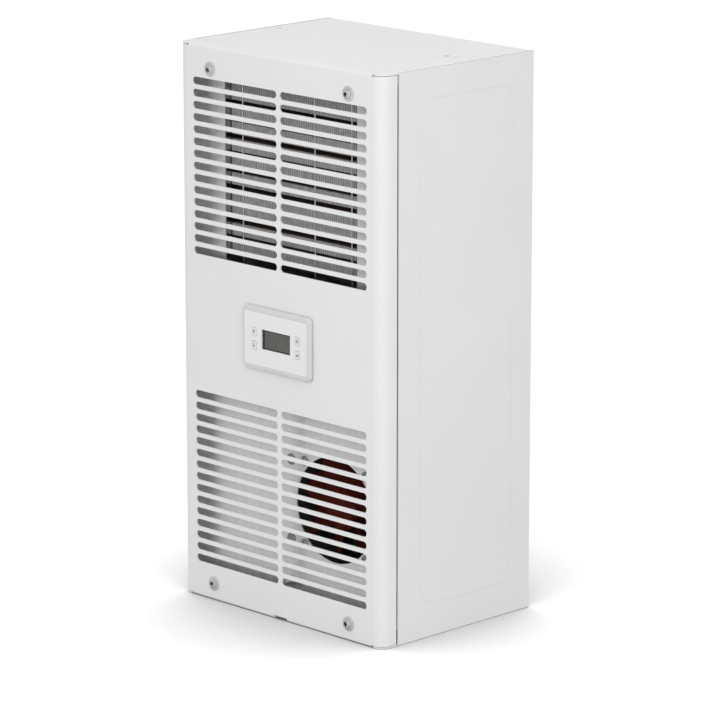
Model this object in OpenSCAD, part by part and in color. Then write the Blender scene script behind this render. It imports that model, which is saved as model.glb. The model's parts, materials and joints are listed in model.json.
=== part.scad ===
// Slim enclosure cooling unit: a louvred front cover on a sheet steel housing,
// with a condenser and its fan at the front, a compressor in the lower bay and
// an evaporator with its own fan in a closed chamber at the rear.
// +Z is up, the louvred front faces -Y, and the origin is at the middle of the base.

/* [Housing] */
// Width of the housing and of the front cover
unit_w = 278; // [272:1:300]
// Height of the housing and of the front cover
unit_h = 550; // [544:1:590]
// Depth from the cover's front face to the rear flanges
unit_d = 204; // [200:1:230]
// Thickness of the sheet steel
sheet_t = 1.2; // [1:0.1:1.5]
// Outer radius of the cover's upright edges
corner_r = 12; // [9:0.5:14]
// Outer radius of the folded edges
fold_r = 2.5; // [2:0.1:3.5]
// Depth of the cover's side returns behind its front face
return_d = 19.2; // [17.5:0.1:20]
// Width of the shadow groove between cover and housing
groove_w = 2.3; // [1:0.1:3]
// Depth of the baffle plate behind the cover's front face
baffle_set = 15.5; // [14.5:0.1:16.5]
// Height of the base panel over the floor
base_rise = 14; // [12:0.5:18]

/* [Louvres] */
// Rows of slots in each field
slot_rows = 15; // [8:1:15]
// Distance from one row of slots to the next
slot_pitch = 11.86; // [10.5:0.02:12]
// Height of a slot
slot_h = 7.4; // [5:0.1:8]
// Width of the web between the two columns
slot_web = 4.8; // [4:0.1:10]
// Distance from the cover's side to the slots
slot_margin = 20.7; // [19:0.1:30]
// Distance from the cover's top to the middle of the top row
upper_field_drop = 35.4; // [34:0.1:40]
// Distance from the cover's bottom to the middle of the bottom row
lower_field_rise = 39.2; // [36:0.1:42]

/* [Control panel] */
// Width of the control panel's bezel
bezel_w = 93; // [90:1:110]
// Height of the bezel
bezel_h = 62; // [60:1:72]
// Height of the bezel's face over the cover
bezel_proud = 5; // [4:0.1:6]
// Width of the bezel's sloping rim
bezel_rim = 3.4; // [3:0.1:5]
// Width of the display window
display_w = 39.2; // [30:0.1:42]
// Height of the display window
display_h = 19.3; // [14:0.1:24]
// Width of a key
key_w = 7; // [5:0.1:8]
// Height of a key
key_h = 8; // [6:0.1:9]
// Way that a key travels when pressed
key_travel = 0.4; // [0.2:0.05:0.6]

/* [Condenser] */
// Distance from the housing's side to the condenser's window in the baffle plate
window_inset = 49; // [46:1:64]
// Bands of fins, one over the other
coil_bands = 10; // [6:1:10]
// Distance from one band to the next
band_pitch = 16.56; // [15:0.02:17]
// Height of a band of fins
band_h = 11.7; // [11:0.1:13]
// Distance from one fin to the next
fin_pitch = 4.96; // [4:0.04:5.2]
// Outer diameter of the coil tubes
coil_tube_d = 7; // [6:0.1:8]

/* [Fans] */
// Bore of the fan ducts
fan_bore = 104; // [98:1:106]
// Side of the square on which the fan's screws lie
fan_square = 82.5; // [80:0.5:86]
// Depth of the fan duct
fan_depth = 30; // [28:0.5:32]
// Blades on each impeller
blades = 7; // [5:1:9]
// Tilt of the blades
blade_tilt = 35; // [28:1:38]
// Chord of the blades
blade_chord = 34; // [26:1:34]

/* [Compressor] */
// Diameter of the compressor shell
shell_d = 100; // [80:1:100]
// Height of the compressor shell
shell_h = 132; // [110:1:132]

/* [Rear] */
// Height of the seal over the rear flanges
seal_proud = 4; // [2:0.5:6]
// Distance from the housing's sides to the mounting nuts
nut_inset = 39; // [37:1:44]
// Distance from the housing's ends to the mounting nuts
nut_end = 40; // [39:1:55]

/* [Hidden] */

$fn = 64;
// Overrun of every cut
over = 1;
// Hairline gap where sheets lie side by side
seam = 0.3;
// Gap where two pieces of one body seat on each other
seat = 0.1;
// Gap beside a moving key
key_gap = 0.3;
// Radial clearance of a shaft or a screw in its hole
run_gap = 0.05;

// Levels behind the cover's front face, counted along +Y
key_proud = 0.5;
front_reach = bezel_proud + key_proud;
front_y = (front_reach - unit_d - seal_proud) / 2;
rear_y = front_y + unit_d;
side_front_y = front_y + return_d + groove_w;
baffle_y = front_y + baffle_set;
baffle_back_y = baffle_y + sheet_t;
rear_panel_back_y = rear_y - sheet_t - seat;
rear_panel_y = rear_panel_back_y - sheet_t;

// Widths of the nested sheets, measured from the middle
half_w = unit_w / 2;
flat_half = half_w - corner_r;
inner_half = half_w - sheet_t;
bead_h = 0.4;
nest_half = inner_half - bead_h - seat;
baffle_half = nest_half - sheet_t - seat;
rear_half = nest_half - sheet_t - seam;
flange_relief = 2.4;
fold_half = flat_half - flange_relief;
flange_gap = 0.5;
corner_end = sheet_t + flange_gap;
flange_end_y = side_front_y - seam;

// Louvre fields
slot_outer = half_w - slot_margin;
slot_inner = slot_web / 2;
upper_top_z = unit_h - upper_field_drop;
lower_top_z = lower_field_rise + (slot_rows - 1) * slot_pitch;

// Cover screws, M5 with a washer of fender size
m5_r = 2.5;
m5_hole_r = 2.8;
m5_head_r = 4.75;
m5_head_h = 2.75;
m5_socket_r = 1.75;
m5_socket_d = 1.8;
button_dome_share = 1.3;
pan_dome_share = 1.5;
m5_len = 12;
cover_screw_inset = 45;
cover_screw_drop = 22;
cover_screw_rise = 16.5;
cover_screw_places = [for (side = [-1, 1], z = [cover_screw_rise, unit_h - cover_screw_drop])
    [side * (half_w - cover_screw_inset), z]];
washer_r = 7.3;
washer_t = 1;
washer_dish = 0.5;
standoff_r = 5;

// Way out of the drain hose in the cover's lower edge
notch_w = 18;
notch_h = 3;

// Control panel
panel_lift = 1;
panel_z = unit_h / 2 + panel_lift;
bezel_corner = 5;
bezel_base = 3;
bezel_reveal = 0.6;
bezel_reveal_set = 1;
bezel_shoulder_shares = [0.28, 0.68];
bezel_wall = 2;
bezel_front_y = front_y - bezel_proud;
display_drop = 1.5;
display_t = 1.6;
display_shift = 0.8;
key_col = 29.6;
key_row = 6.6;
key_flange = 0.8;
key_flange_t = 0.8;
mat_t = 0.8;
mat_margin = 2;
dome_r = 2.2;
dome_h = 0.9;
board_t = 1.6;
case_margin = 5;
case_wall = 1.4;
case_h = bezel_h - 2 * case_margin;
case_w = bezel_w - 2 * case_margin;
case_front_y = front_y + sheet_t + seat;
case_back_y = baffle_y - seam;
key_back_y = bezel_front_y + bezel_wall + key_flange_t + seat;
mat_y = key_back_y + key_travel + dome_h + seam;
board_y = mat_y + mat_t;

// Side panel
rear_flange_w = 14;
rear_relief = 3;
bead_w = 2.4;
bead_r = 20;
bead_front = 29;
bead_rear = 28;
bead_low = 30;
bead_high = 28.5;

// Inner sheet metal
lip = 12;
baffle_lip = 14;
base_lip = 15;
partition_set = 92;
shelf_z = 190;
partition_y = front_y + partition_set;
partition_back_y = partition_y + sheet_t;
base_top_z = base_rise + sheet_t;
tray_h = 15;
tray_top_z = shelf_z + sheet_t + seat + tray_h;
window_drop = 30;
window_top_z = unit_h - window_drop;
plug_r = 4.6;
plug_side = 60;
plug_gap = 79.3;
plug_flange_r = 5.6;
plug_flange_t = 1;
plug_len = 6;
plug_wall = 1;

// Condenser coil
fin_t = 0.4;
coil_set = 25.2;
coil_drop = 12.4;
window_foot = 4.4;
window_w = unit_w - 2 * window_inset;
window_h = coil_drop + coil_bands * band_pitch + window_foot;
window_low_z = window_top_z - window_h;
coil_front_y = front_y + coil_set;
band_d = 15;
spine_d = 15;
coil_d = band_d + spine_d;
coil_over = 2.6;
coil_half = window_w / 2 + coil_over;
coil_fin_half = coil_half - fin_pitch / 2;
coil_top_z = window_top_z - coil_drop;
end_plate_t = 1;
end_plate_lip = 9;
end_plate_over = 3;
end_plate_h = window_h + 2 * end_plate_over;
tube_r = coil_tube_d / 2;
tube_gap = 0.1;
bend_stick = 5;
cuff_t = 0.4;
cuff_len = 3;
guard_wire_r = 0.65;
guard_wires = 4;
guard_wire_fins = 10;

// Places of the condenser tubes in y and z, from the inlet at the top to the outlet
condenser_tube_places = [for (k = [0 : coil_bands - 1]) each
    let (z = coil_top_z - band_h / 2 - k * band_pitch, y = coil_front_y + band_d / 2)
    k < coil_bands - 1 ? [[y, z], [y + coil_d / 2, z - band_pitch / 2]] : [[y, z]]];

// Fans, each drawn in its own frame with the mounting face at y = 0 and the duct along +Y
bore_r = fan_bore / 2;
ring_wall = 2.5;
ring_lip = 4;
ring_lip_t = 2.5;
ring_rib_t = 1.6;
ear_r = 6;
ear_t = 3;
fan_screw_r = 2;
fan_screw_head_r = 5;
fan_screw_head_h = 2.4;
fan_screw_len = 8;
guard_screw_head_r = 4;
guard_screw_head_h = 1.7;
tip_gap = 2;
tip_r = bore_r - tip_gap;
hub_r = 21;
hub_wall = 1.6;
hub_set = 6.5;
hub_d = 20;
evap_hub_set = 8;
boss_r = 5;
boss_d = 6;
shaft_r = 2;
blade_t = 1.6;
blade_camber_r = 42;
blade_root_share = 0.7;
motor_r = 16.5;
motor_tail_r = 19;
motor_tail_d = 12;
plate_r = 24;
strut_w = 7;
strut_t = 2.5;
struts = 4;
fan_inset_x = 79;
fan_rise = 118.5;
fan_x = half_w - fan_inset_x;
plug_places = [for (side = [-1, 1]) [fan_x - plug_side, fan_rise + side * plug_gap / 2]];
evap_fan_drop = 100;
evap_fan_z = unit_h - evap_fan_drop;
guard_rings = 5;
guard_r = 1;
guard_pitch = 9.5;
guard_first_r = 12;
guard_eye_t = 1.6;

// Evaporator coil
evap_inset = 41;
evap_half = half_w - evap_inset;
evap_h = 44;
evap_place_share = 0.666;
evap_set = 4;
evap_rear_gap = 5;
chamber_free_h = evap_fan_z - bore_r - ring_lip - evap_h - tray_top_z;
evap_low_z = tray_top_z + chamber_free_h * evap_place_share;
evap_front_y = partition_back_y + evap_set;
evap_d = rear_panel_y - evap_front_y - evap_rear_gap;
evap_rows = 2;
evap_cols = 4;
evaporator_tube_places = [for (i = [0 : evap_cols - 1]) each
    let (
        y = evap_front_y + (i + 0.5) * evap_d / evap_cols,
        low = evap_low_z + evap_h / (2 * evap_rows)
    )
    [for (j = [0 : evap_rows - 1]) [y, low + (i % 2 == 0 ? j : evap_rows - 1 - j) * evap_h / evap_rows]]];

// Rear openings
outlet_rows = 5;
outlet_pitch = 13;
outlet_slot_h = 8;
outlet_rise = 19.7;
outlet_low_z = tray_top_z + outlet_rise;
outlet_inset = 54;
outlet_half = half_w - outlet_inset;
outlet_web = 8;
rear_screw_inset = 7;
rear_screw_rows = 5;
rear_screw_end = 42;
rear_screw_places = [for (side = [-1, 1], row = [0 : rear_screw_rows - 1])
    [side * (half_w - rear_screw_inset),
        rear_screw_end + row * (unit_h - 2 * rear_screw_end) / (rear_screw_rows - 1)]];
m4_r = 2;
m4_head_r = 3.9;
m4_head_h = 2.2;
m4_len = 6;
seal_w = 10;
seal_inset = 17;
seal_end = 16;
nut_flange_r = 6.5;
nut_flange_t = 0.8;
nut_body_r = 4.4;
nut_bore_r = 2.5;
nut_len = 14;
nut_places = [for (side = [-1, 1], z = [nut_end, unit_h - nut_end]) [side * (half_w - nut_inset), z]];
insert_flange_r = 8.8;
insert_flange_t = 0.9;
insert_body_r = 5.4;
insert_bore_r = 3.4;
insert_len = 15;
insert_set = 117;
insert_left_inset = 18;
insert_right_inset = 32;

// Place of the compressor from side to side
comp_inset = 73;
comp_x = -(half_w - comp_inset);

// Drip tray and drain
tray_inset = 19;
tray_half = half_w - tray_inset;
tray_wall = 1.4;
tray_gap = 3;
drain_r = 6;
drain_wall = 1.2;
drain_side = 16;
drain_x = comp_x + shell_d / 2 + drain_side;
drain_set = 11.8;
drain_y = partition_back_y + tray_gap + drain_set;
hose_wall = 1.8;
hose_lap = 12;
spout_flange_r = 11;
spout_flange_t = 2;
spout_drop = 11;
spout_up = 16;
spout_nut_r = 9;
spout_nut_t = 2;

// Compressor and what serves it
comp_set = 106;
comp_y = front_y + comp_set;
grommet_h = 15;
grommet_r = 8;
grommet_neck = 1.5;
foot_t = 3;
foot_half_x = 52;
foot_half_y = 40;
foot_pad_r = 10;
foot_z = base_top_z + grommet_h - foot_t - 2 * grommet_neck;
shell_z = foot_z + foot_t;
shell_dome = 24;
shell_seam_h = 6;
shell_seam_out = 2.2;
shell_r = shell_d / 2 - shell_seam_out;
shell_foot_share = 0.62;
shell_seam_share = 0.45;
port_share = 0.5;
shell_foot_r = shell_r * shell_foot_share;
m6_r = 3;
m6_head_r = 5.8;
m6_head_h = 4;
port_len = 9;
cap_w = 36;
cap_h = 46;
cap_d = 20;
cap_r = 6;
cap_rise = 52;
line_r = 4;
suction_r = 5;
liquid_r = 3.2;
capillary_r = 1.3;
line_bend = 10;
bend_steps = 4;
line_fn = 10;
riser_inset = 10;
drier_side = 83;
drier_set = 168;
drier_y = front_y + drier_set;
drier_r = 10;
drier_h = 74;
drier_cone = 10;
drier_neck = 8;
drier_rise = 58;
cap_coil_r = 15;
cap_coil_turns = 3;
cap_coil_pitch = 5;
cap_coil_steps = 12;
cap_coil_side = 49;
capacitor_r = 17.5;
capacitor_h = 72;
tab_t = 0.8;
tab_w = 6.3;
tab_h = 8;
capacitor_inset = 34;
capacitor_set = 165;
capacitor_x = half_w - capacitor_inset;
drier_x = capacitor_x - drier_side;
cap_coil_x = capacitor_x - cap_coil_side;
capacitor_y = front_y + capacitor_set;
clamp_t = 1;
clamp_h = 12;
clamp_foot = 12;
connector_w = 52;
connector_h = 16;
connector_d = 22;
connector_flange = 3;
connector_poles = 5;
connector_inset = 77;
connector_x = half_w - connector_inset;
connector_rise = 96;
earth_x = 1;
earth_rise = 37;
earth_stud_r = 2.5;
earth_stud_len = 12;
earth_nut_r = 4.6;
earth_nut_h = 3;
earth_lug_r = 5;
earth_lug_t = 1;
earth_lug_len = 14;

// Ends of the refrigerant lines
discharge_off = shell_r * port_share;
riser_x = half_w - sheet_t - riser_inset;
port_top_z = shell_z + shell_h + port_len;
coil_end = coil_half + end_plate_t + bend_stick;
evap_coil_end = evap_half + 2 * end_plate_t + bend_stick;
suction_x = -riser_x;
suction_y = rear_panel_y - 2 * riser_inset;
capillary_x = -riser_x;
evap_in = evaporator_tube_places[0];
evap_out = evaporator_tube_places[len(evaporator_tube_places) - 1];
coil_in = condenser_tube_places[0];
coil_out = condenser_tube_places[len(condenser_tube_places) - 1];
front_run_y = partition_y - 2 * riser_inset;

// Shapes that repeat

// A plate drawn in x and z, from y to y + t
module slab_y(y, t) translate([0, y + t, 0]) rotate([90, 0, 0]) linear_extrude(t) children();

// A plate drawn in y and z, from x to x + t
module slab_x(x, t) translate([x, 0, 0]) rotate([90, 0, 90]) linear_extrude(t) children();

// A plate drawn in x and y, from z to z + t
module slab_z(z, t) translate([0, 0, z]) linear_extrude(t) children();

// A round bar along y
module bar_y(y, len, r) translate([0, y, 0]) rotate([-90, 0, 0]) cylinder(h = len, r = r);

// A round bar along x
module bar_x(x, len, r) translate([x, 0, 0]) rotate([0, 90, 0]) cylinder(h = len, r = r);

// A flat rectangle given by two corners
module area(a, b) translate(a) square(b - a);

// A flat rectangle with rounded corners
module round_area(a, b, r) {
    area([a.x + r, a.y], [b.x - r, b.y]);
    area([a.x, a.y + r], [b.x, b.y - r]);
    for (x = [a.x + r, b.x - r], y = [a.y + r, b.y - r]) translate([x, y]) circle(r);
}

// A flat slot with round ends, lying along x
module slot_area(x0, x1, z, h) {
    area([x0 + h / 2, z - h / 2], [x1 - h / 2, z + h / 2]);
    for (x = [x0 + h / 2, x1 - h / 2]) translate([x, z]) circle(h / 2);
}

// A quarter of a flat ring about c, in the quadrant that q names
module quarter_ring(c, r_out, r_in, q) {
    intersection() {
        translate(c) difference() {
            circle(r_out);
            if (r_in > 0) circle(r_in);
        }
        translate(c + [q.x < 0 ? -r_out : 0, q.y < 0 ? -r_out : 0]) square(r_out);
    }
}

function unit(v) = v / norm(v);

// A list without its first a and its last b items
function rest(list, a, b) = [for (i = [a : len(list) - 1 - b]) list[i]];

// Points of a round bend at b, between a and c
function bend_points(a, b, c, r) =
    let (
        u = unit(a - b),
        w = unit(c - b),
        half = acos(u * w) / 2,
        middle = b + unit(u + w) * (r / sin(half)),
        p = b + u * (r / tan(half)) - middle,
        q = b + w * (r / tan(half)) - middle,
        turn = 180 - 2 * half
    )
    [for (i = [0 : bend_steps]) let (s = i / bend_steps)
        middle + (p * sin((1 - s) * turn) + q * sin(s * turn)) / sin(turn)];

// A route with every inner corner rounded
function rounded_route(points, r) = [
    points[0],
    for (i = [1 : len(points) - 2]) each bend_points(points[i - 1], points[i], points[i + 1], r),
    points[len(points) - 1]
];

function route_direction(route, i) =
    let (n = len(route) - 1)
    unit(i == 0 ? route[1] - route[0] : i == n ? route[n] - route[n - 1] : route[i + 1] - route[i - 1]);

// A side vector for each point, carried along the route without twisting
function carried_sides(route, i, side) =
    let (
        d = route_direction(route, i),
        s = unit(side - d * (side * d))
    )
    i == len(route) - 1 ? [s] : concat([s], carried_sides(route, i + 1, s));

// A round tube swept along a route
module swept_tube(route, r, sides = line_fn) {
    n = len(route);
    first = route_direction(route, 0);
    seed = abs(first.z) > 0.9 ? [1, 0, 0] : [0, 0, 1];
    across = carried_sides(route, 0, seed);
    points = [for (i = [0 : n - 1], k = [0 : sides - 1])
        let (
            d = route_direction(route, i),
            a = across[i],
            b = cross(d, a),
            turn = 360 * k / sides
        )
        route[i] + (a * cos(turn) + b * sin(turn)) * r];
    faces = concat(
        [[for (k = [0 : sides - 1]) k]],
        [for (i = [0 : n - 2], k = [0 : sides - 1]) let (m = (k + 1) % sides)
            [i * sides + k, (i + 1) * sides + k, (i + 1) * sides + m, i * sides + m]],
        [[for (k = [sides - 1 : -1 : 0]) (n - 1) * sides + k]]
    );
    polyhedron(points, faces, convexity = 6);
}

// Front cover

module louvre_slots() {
    for (top_z = [upper_top_z, lower_top_z], row = [0 : slot_rows - 1], side = [0, 1])
        mirror([side, 0]) slot_area(slot_inner, slot_outer, top_z - row * slot_pitch, slot_h);
}

// Plan of both rounded corners and their side returns
module corner_plan() {
    for (side = [0, 1]) mirror([side, 0]) {
        quarter_ring([flat_half, front_y + corner_r], corner_r, corner_r - sheet_t, [1, -1]);
        area([inner_half, front_y + corner_r], [half_w, front_y + return_d]);
    }
}

// Plan of the sheet that wraps round the front and both upright edges
module wrap_plan() {
    area([-flat_half, front_y], [flat_half, front_y + sheet_t]);
    corner_plan();
}

// Plan of the flange that closes the cover's top and bottom and lies over its corners
module flange_plan() {
    area([-flat_half, front_y + fold_r], [flat_half, front_y + corner_r]);
    area([-half_w, front_y + corner_r], [half_w, flange_end_y]);
    for (side = [0, 1]) mirror([side, 0])
        quarter_ring([flat_half, front_y + corner_r], corner_r, 0, [1, -1]);
}

// The folded upper edge and its flange
module folded_edge() {
    slab_x(-fold_half, 2 * fold_half)
        quarter_ring([front_y + fold_r, unit_h - fold_r], fold_r, fold_r - sheet_t, [-1, 1]);
    slab_z(unit_h - sheet_t, sheet_t) flange_plan();
}

module front_cover() {
    color("#e6e6e6") difference() {
        union() {
            difference() {
                slab_z(fold_r, unit_h - 2 * fold_r) wrap_plan();
                slab_y(front_y - over, sheet_t + 2 * over) louvre_slots();
            }
            for (z = [corner_end, unit_h - fold_r]) slab_z(z, fold_r - corner_end) corner_plan();
            folded_edge();
            translate([0, 0, unit_h]) mirror([0, 0, 1]) folded_edge();
        }
        slab_y(front_y - over, sheet_t + 2 * over) {
            round_area([-case_w / 2 + bezel_wall, panel_z - case_h / 2 + bezel_wall],
                [case_w / 2 - bezel_wall, panel_z + case_h / 2 - bezel_wall], bezel_wall);
            for (p = cover_screw_places) translate(p) circle(m5_hole_r);
        }
        slab_y(front_y - over, fold_r + notch_h + over)
            area([drain_x - notch_w / 2, -over], [drain_x + notch_w / 2, notch_h]);
    }
}

module cover_screws() {
    head_y = front_y - washer_t - washer_dish;
    color("#b9babb") for (p = cover_screw_places) translate([p.x, head_y, p.y]) rotate([90, 0, 0])
        difference() {
            union() {
                rotate_extrude() intersection() {
                    translate([0, m5_head_h - m5_head_r * button_dome_share])
                        circle(m5_head_r * button_dome_share);
                    area([0, 0], [m5_head_r, m5_head_h]);
                }
                translate([0, 0, -m5_len]) cylinder(h = m5_len, r = m5_r);
            }
            translate([0, 0, m5_head_h - m5_socket_d])
                cylinder(h = m5_socket_d + over, r = m5_socket_r, $fn = 6);
        }
}

module cover_washers() {
    color("#b4b5b6") for (p = cover_screw_places) translate([p.x, front_y, p.y]) rotate([90, 0, 0])
        rotate_extrude() polygon([
            [m5_r + run_gap, washer_dish], [m5_head_r, washer_dish], [washer_r - washer_dish, 0],
            [washer_r, 0], [washer_r, washer_t - washer_dish], [m5_head_r, washer_t + washer_dish],
            [m5_r + run_gap, washer_t + washer_dish]
        ]);
}

module cover_standoffs() {
    color("#a9acaf") for (p = cover_screw_places) translate([p.x, 0, p.y]) difference() {
        bar_y(front_y + sheet_t + seat, baffle_set - sheet_t - 2 * seat, standoff_r);
        bar_y(front_y, m5_len + washer_dish, m5_r + run_gap);
    }
}

// Housing

// Plan of a side panel: the wall and its folded rear flange
module side_plan() {
    area([inner_half, side_front_y], [half_w, rear_y - fold_r]);
    quarter_ring([half_w - fold_r, rear_y - fold_r], fold_r, fold_r - sheet_t, [1, 1]);
    area([half_w - rear_flange_w, rear_y - sheet_t], [half_w - fold_r, rear_y]);
}

// The rounded outline pressed into a side panel, grown by g
module bead_outline(g) {
    difference() {
        round_area([side_front_y + bead_front - g, bead_low - g],
            [rear_y - bead_rear + g, unit_h - bead_high + g], bead_r + g);
        round_area([side_front_y + bead_front + bead_w + g, bead_low + bead_w + g],
            [rear_y - bead_rear - bead_w - g, unit_h - bead_high - bead_w - g], bead_r - bead_w - g);
    }
}

module side_wall() {
    difference() {
        union() {
            slab_z(0, unit_h) side_plan();
            slab_x(inner_half - bead_h, bead_h + sheet_t / 2) bead_outline(0);
        }
        slab_x(half_w - bead_h, bead_h + over) bead_outline(0);
        for (z = [-over, unit_h - rear_relief])
            slab_z(z, rear_relief + over)
                area([0, rear_y - sheet_t - over], [half_w - fold_r, rear_y + over]);
        for (p = rear_screw_places) if (p.x > flat_half) translate([p.x, 0, p.y])
            bar_y(rear_y - sheet_t - over, sheet_t + 2 * over, m4_r + run_gap);
    }
}

module right_side_panel() {
    color("#dfdfdf") side_wall();
}

module left_side_panel() {
    color("#dfdfdf") mirror([1, 0, 0]) side_wall();
}

// Section of a plate with both edges folded down, in x and z with its face at z = 0
module tray_section(half, h, fold = fold_r) {
    area([-half + fold, -sheet_t], [half - fold, 0]);
    for (side = [0, 1]) mirror([side, 0]) {
        quarter_ring([half - fold, -fold], fold, fold - sheet_t, [1, 1]);
        area([half - sheet_t, -h], [half, -fold]);
    }
}

module insert_places() {
    translate([-half_w + insert_left_inset, front_y + insert_set, 0]) children();
    translate([half_w - insert_right_inset, front_y + insert_set, 0]) children();
}

module top_panel() {
    flange_half = half_w - rear_flange_w - seam;
    color("#e9e9e9") difference() {
        union() {
            slab_y(side_front_y, rear_y - fold_r - side_front_y)
                translate([0, unit_h]) tray_section(nest_half, lip);
            slab_x(-flange_half, 2 * flange_half) {
                quarter_ring([rear_y - fold_r, unit_h - fold_r], fold_r, fold_r - sheet_t, [1, 1]);
                area([rear_y - sheet_t, unit_h - rear_flange_w], [rear_y, unit_h - fold_r]);
            }
        }
        insert_places() translate([0, 0, unit_h - sheet_t - over])
            cylinder(h = sheet_t + 2 * over, r = insert_body_r + seat);
    }
}

module base_panel() {
    back_y = rear_panel_y - seat;
    color("#c9cbcc") difference() {
        union() {
            slab_y(baffle_y, back_y - baffle_y)
                translate([0, base_rise]) mirror([0, 1]) tray_section(nest_half, base_lip);
            slab_y(back_y - sheet_t, sheet_t)
                area([-nest_half + fold_r + seam, base_rise + sheet_t],
                    [nest_half - fold_r - seam, base_rise + base_lip]);
        }
        translate([drain_x, drain_y, base_rise - over])
            cylinder(h = sheet_t + 2 * over, r = drain_r + seat);
        foot_places()
            translate([0, 0, base_rise - over]) cylinder(h = sheet_t + 2 * over, r = m6_r + run_gap);
    }
}

module outlet_slots() {
    for (row = [0 : outlet_rows - 1], side = [0, 1])
        mirror([side, 0])
            slot_area(outlet_web / 2, outlet_half, outlet_low_z + row * outlet_pitch, outlet_slot_h);
}

module fan_screw_places() {
    for (x = [-1, 1], z = [-1, 1]) translate([x * fan_square / 2, 0, z * fan_square / 2]) children();
}

module rear_panel() {
    color("#cfd1d2") difference() {
        slab_y(rear_panel_y, sheet_t)
            area([-rear_half, 0], [rear_half, unit_h - fold_r - seam]);
        slab_y(rear_panel_y - over, sheet_t + 2 * over) {
            outlet_slots();
            for (p = nut_places) translate(p) circle(nut_body_r + seat);
            translate([connector_x, connector_rise]) area(
                [-connector_w / 2 - seat, -connector_h / 2 - seat],
                [connector_w / 2 + seat, connector_h / 2 + seat]);
        }
        translate([0, 0, evap_fan_z]) {
            bar_y(rear_panel_y - over, sheet_t + 2 * over, bore_r);
            fan_screw_places() bar_y(rear_panel_y - over, sheet_t + 2 * over, fan_screw_r + run_gap);
        }
        for (p = rear_screw_places) translate([p.x, 0, p.y])
            bar_y(rear_panel_y - over, sheet_t + 2 * over, m4_r + run_gap);
    }
}

// A pan head screw whose head stands on y = 0 towards -Y
module pan_screw(r, head_r, head_h, len) {
    rotate([90, 0, 0]) difference() {
        union() {
            rotate_extrude() intersection() {
                translate([0, head_h - head_r * pan_dome_share]) circle(head_r * pan_dome_share);
                area([0, 0], [head_r, head_h]);
            }
            translate([0, 0, -len]) cylinder(h = len, r = r);
        }
        for (turn = [0, 90]) rotate([0, 0, turn])
            translate([-head_r / 2, -head_r / 10, head_h / 2]) cube([head_r, head_r / 5, head_h]);
    }
}

module rear_panel_screws() {
    color("#b7b9bb") for (p = rear_screw_places) translate([p.x, rear_y + seat, p.y])
        mirror([0, 1, 0]) pan_screw(m4_r, m4_head_r, m4_head_h, m4_len);
}

module rear_seal() {
    x = half_w - seal_inset;
    color("#3b3c3d") slab_y(rear_panel_back_y, rear_y + seal_proud - rear_panel_back_y) difference() {
        area([-x, seal_end], [x, unit_h - seal_end]);
        area([-x + seal_w, seal_end + seal_w], [x - seal_w, unit_h - seal_end - seal_w]);
    }
}

module mounting_nuts() {
    color("#c3b77a") for (p = nut_places) translate([p.x, 0, p.y]) difference() {
        union() {
            bar_y(rear_panel_back_y, nut_flange_t, nut_flange_r);
            bar_y(rear_panel_back_y - nut_len, nut_len, nut_body_r);
        }
        bar_y(rear_panel_back_y - nut_len - over, nut_len + nut_flange_t + 2 * over, nut_bore_r);
    }
}

module lifting_inserts() {
    color("#d8d9da") insert_places() difference() {
        union() {
            translate([0, 0, unit_h]) cylinder(h = insert_flange_t, r = insert_flange_r);
            translate([0, 0, unit_h - insert_len]) cylinder(h = insert_len, r = insert_body_r);
        }
        translate([0, 0, unit_h - insert_len - over])
            cylinder(h = insert_len + insert_flange_t + 2 * over, r = insert_bore_r);
    }
}

// Inner sheets

module baffle_plate() {
    back_y = baffle_y + baffle_lip;
    low_z = base_rise + fold_r + seat;
    high_z = unit_h - fold_r - seat;
    color("#b3b5b6") difference() {
        union() {
            slab_z(low_z, high_z - low_z)
                translate([0, baffle_y]) mirror([0, 1]) tray_section(baffle_half, baffle_lip);
            slab_z(high_z - sheet_t, sheet_t)
                area([-baffle_half + fold_r + seam, baffle_y + sheet_t],
                    [baffle_half - fold_r - seam, back_y]);
        }
        slab_y(baffle_y - over, sheet_t + 2 * over) {
            area([-window_w / 2, window_low_z], [window_w / 2, window_top_z]);
            for (p = plug_places) translate(p) circle(plug_r + run_gap);
        }
        translate([fan_x, 0, fan_rise]) {
            bar_y(baffle_y - over, sheet_t + 2 * over, bore_r);
            fan_screw_places() bar_y(baffle_y - over, sheet_t + 2 * over, fan_screw_r + run_gap);
        }
        translate([earth_x, 0, earth_rise])
            bar_y(baffle_y - over, sheet_t + 2 * over, earth_stud_r + run_gap);
    }
}

// Blanking plugs, domed in front and hollow behind
module baffle_plugs() {
    back_y = baffle_y - seat;
    color("#8f9295") for (p = plug_places) translate([p.x, 0, p.y]) difference() {
        union() {
            translate([0, back_y, 0]) rotate([90, 0, 0]) rotate_extrude() polygon([
                [0, 0], [plug_flange_r, 0], [plug_flange_r, plug_flange_t / 2],
                [plug_r, plug_flange_t], [0, plug_flange_t]
            ]);
            bar_y(back_y, plug_len, plug_r);
        }
        bar_y(back_y + plug_wall / 2, plug_len, plug_r - plug_wall);
    }
}

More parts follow.
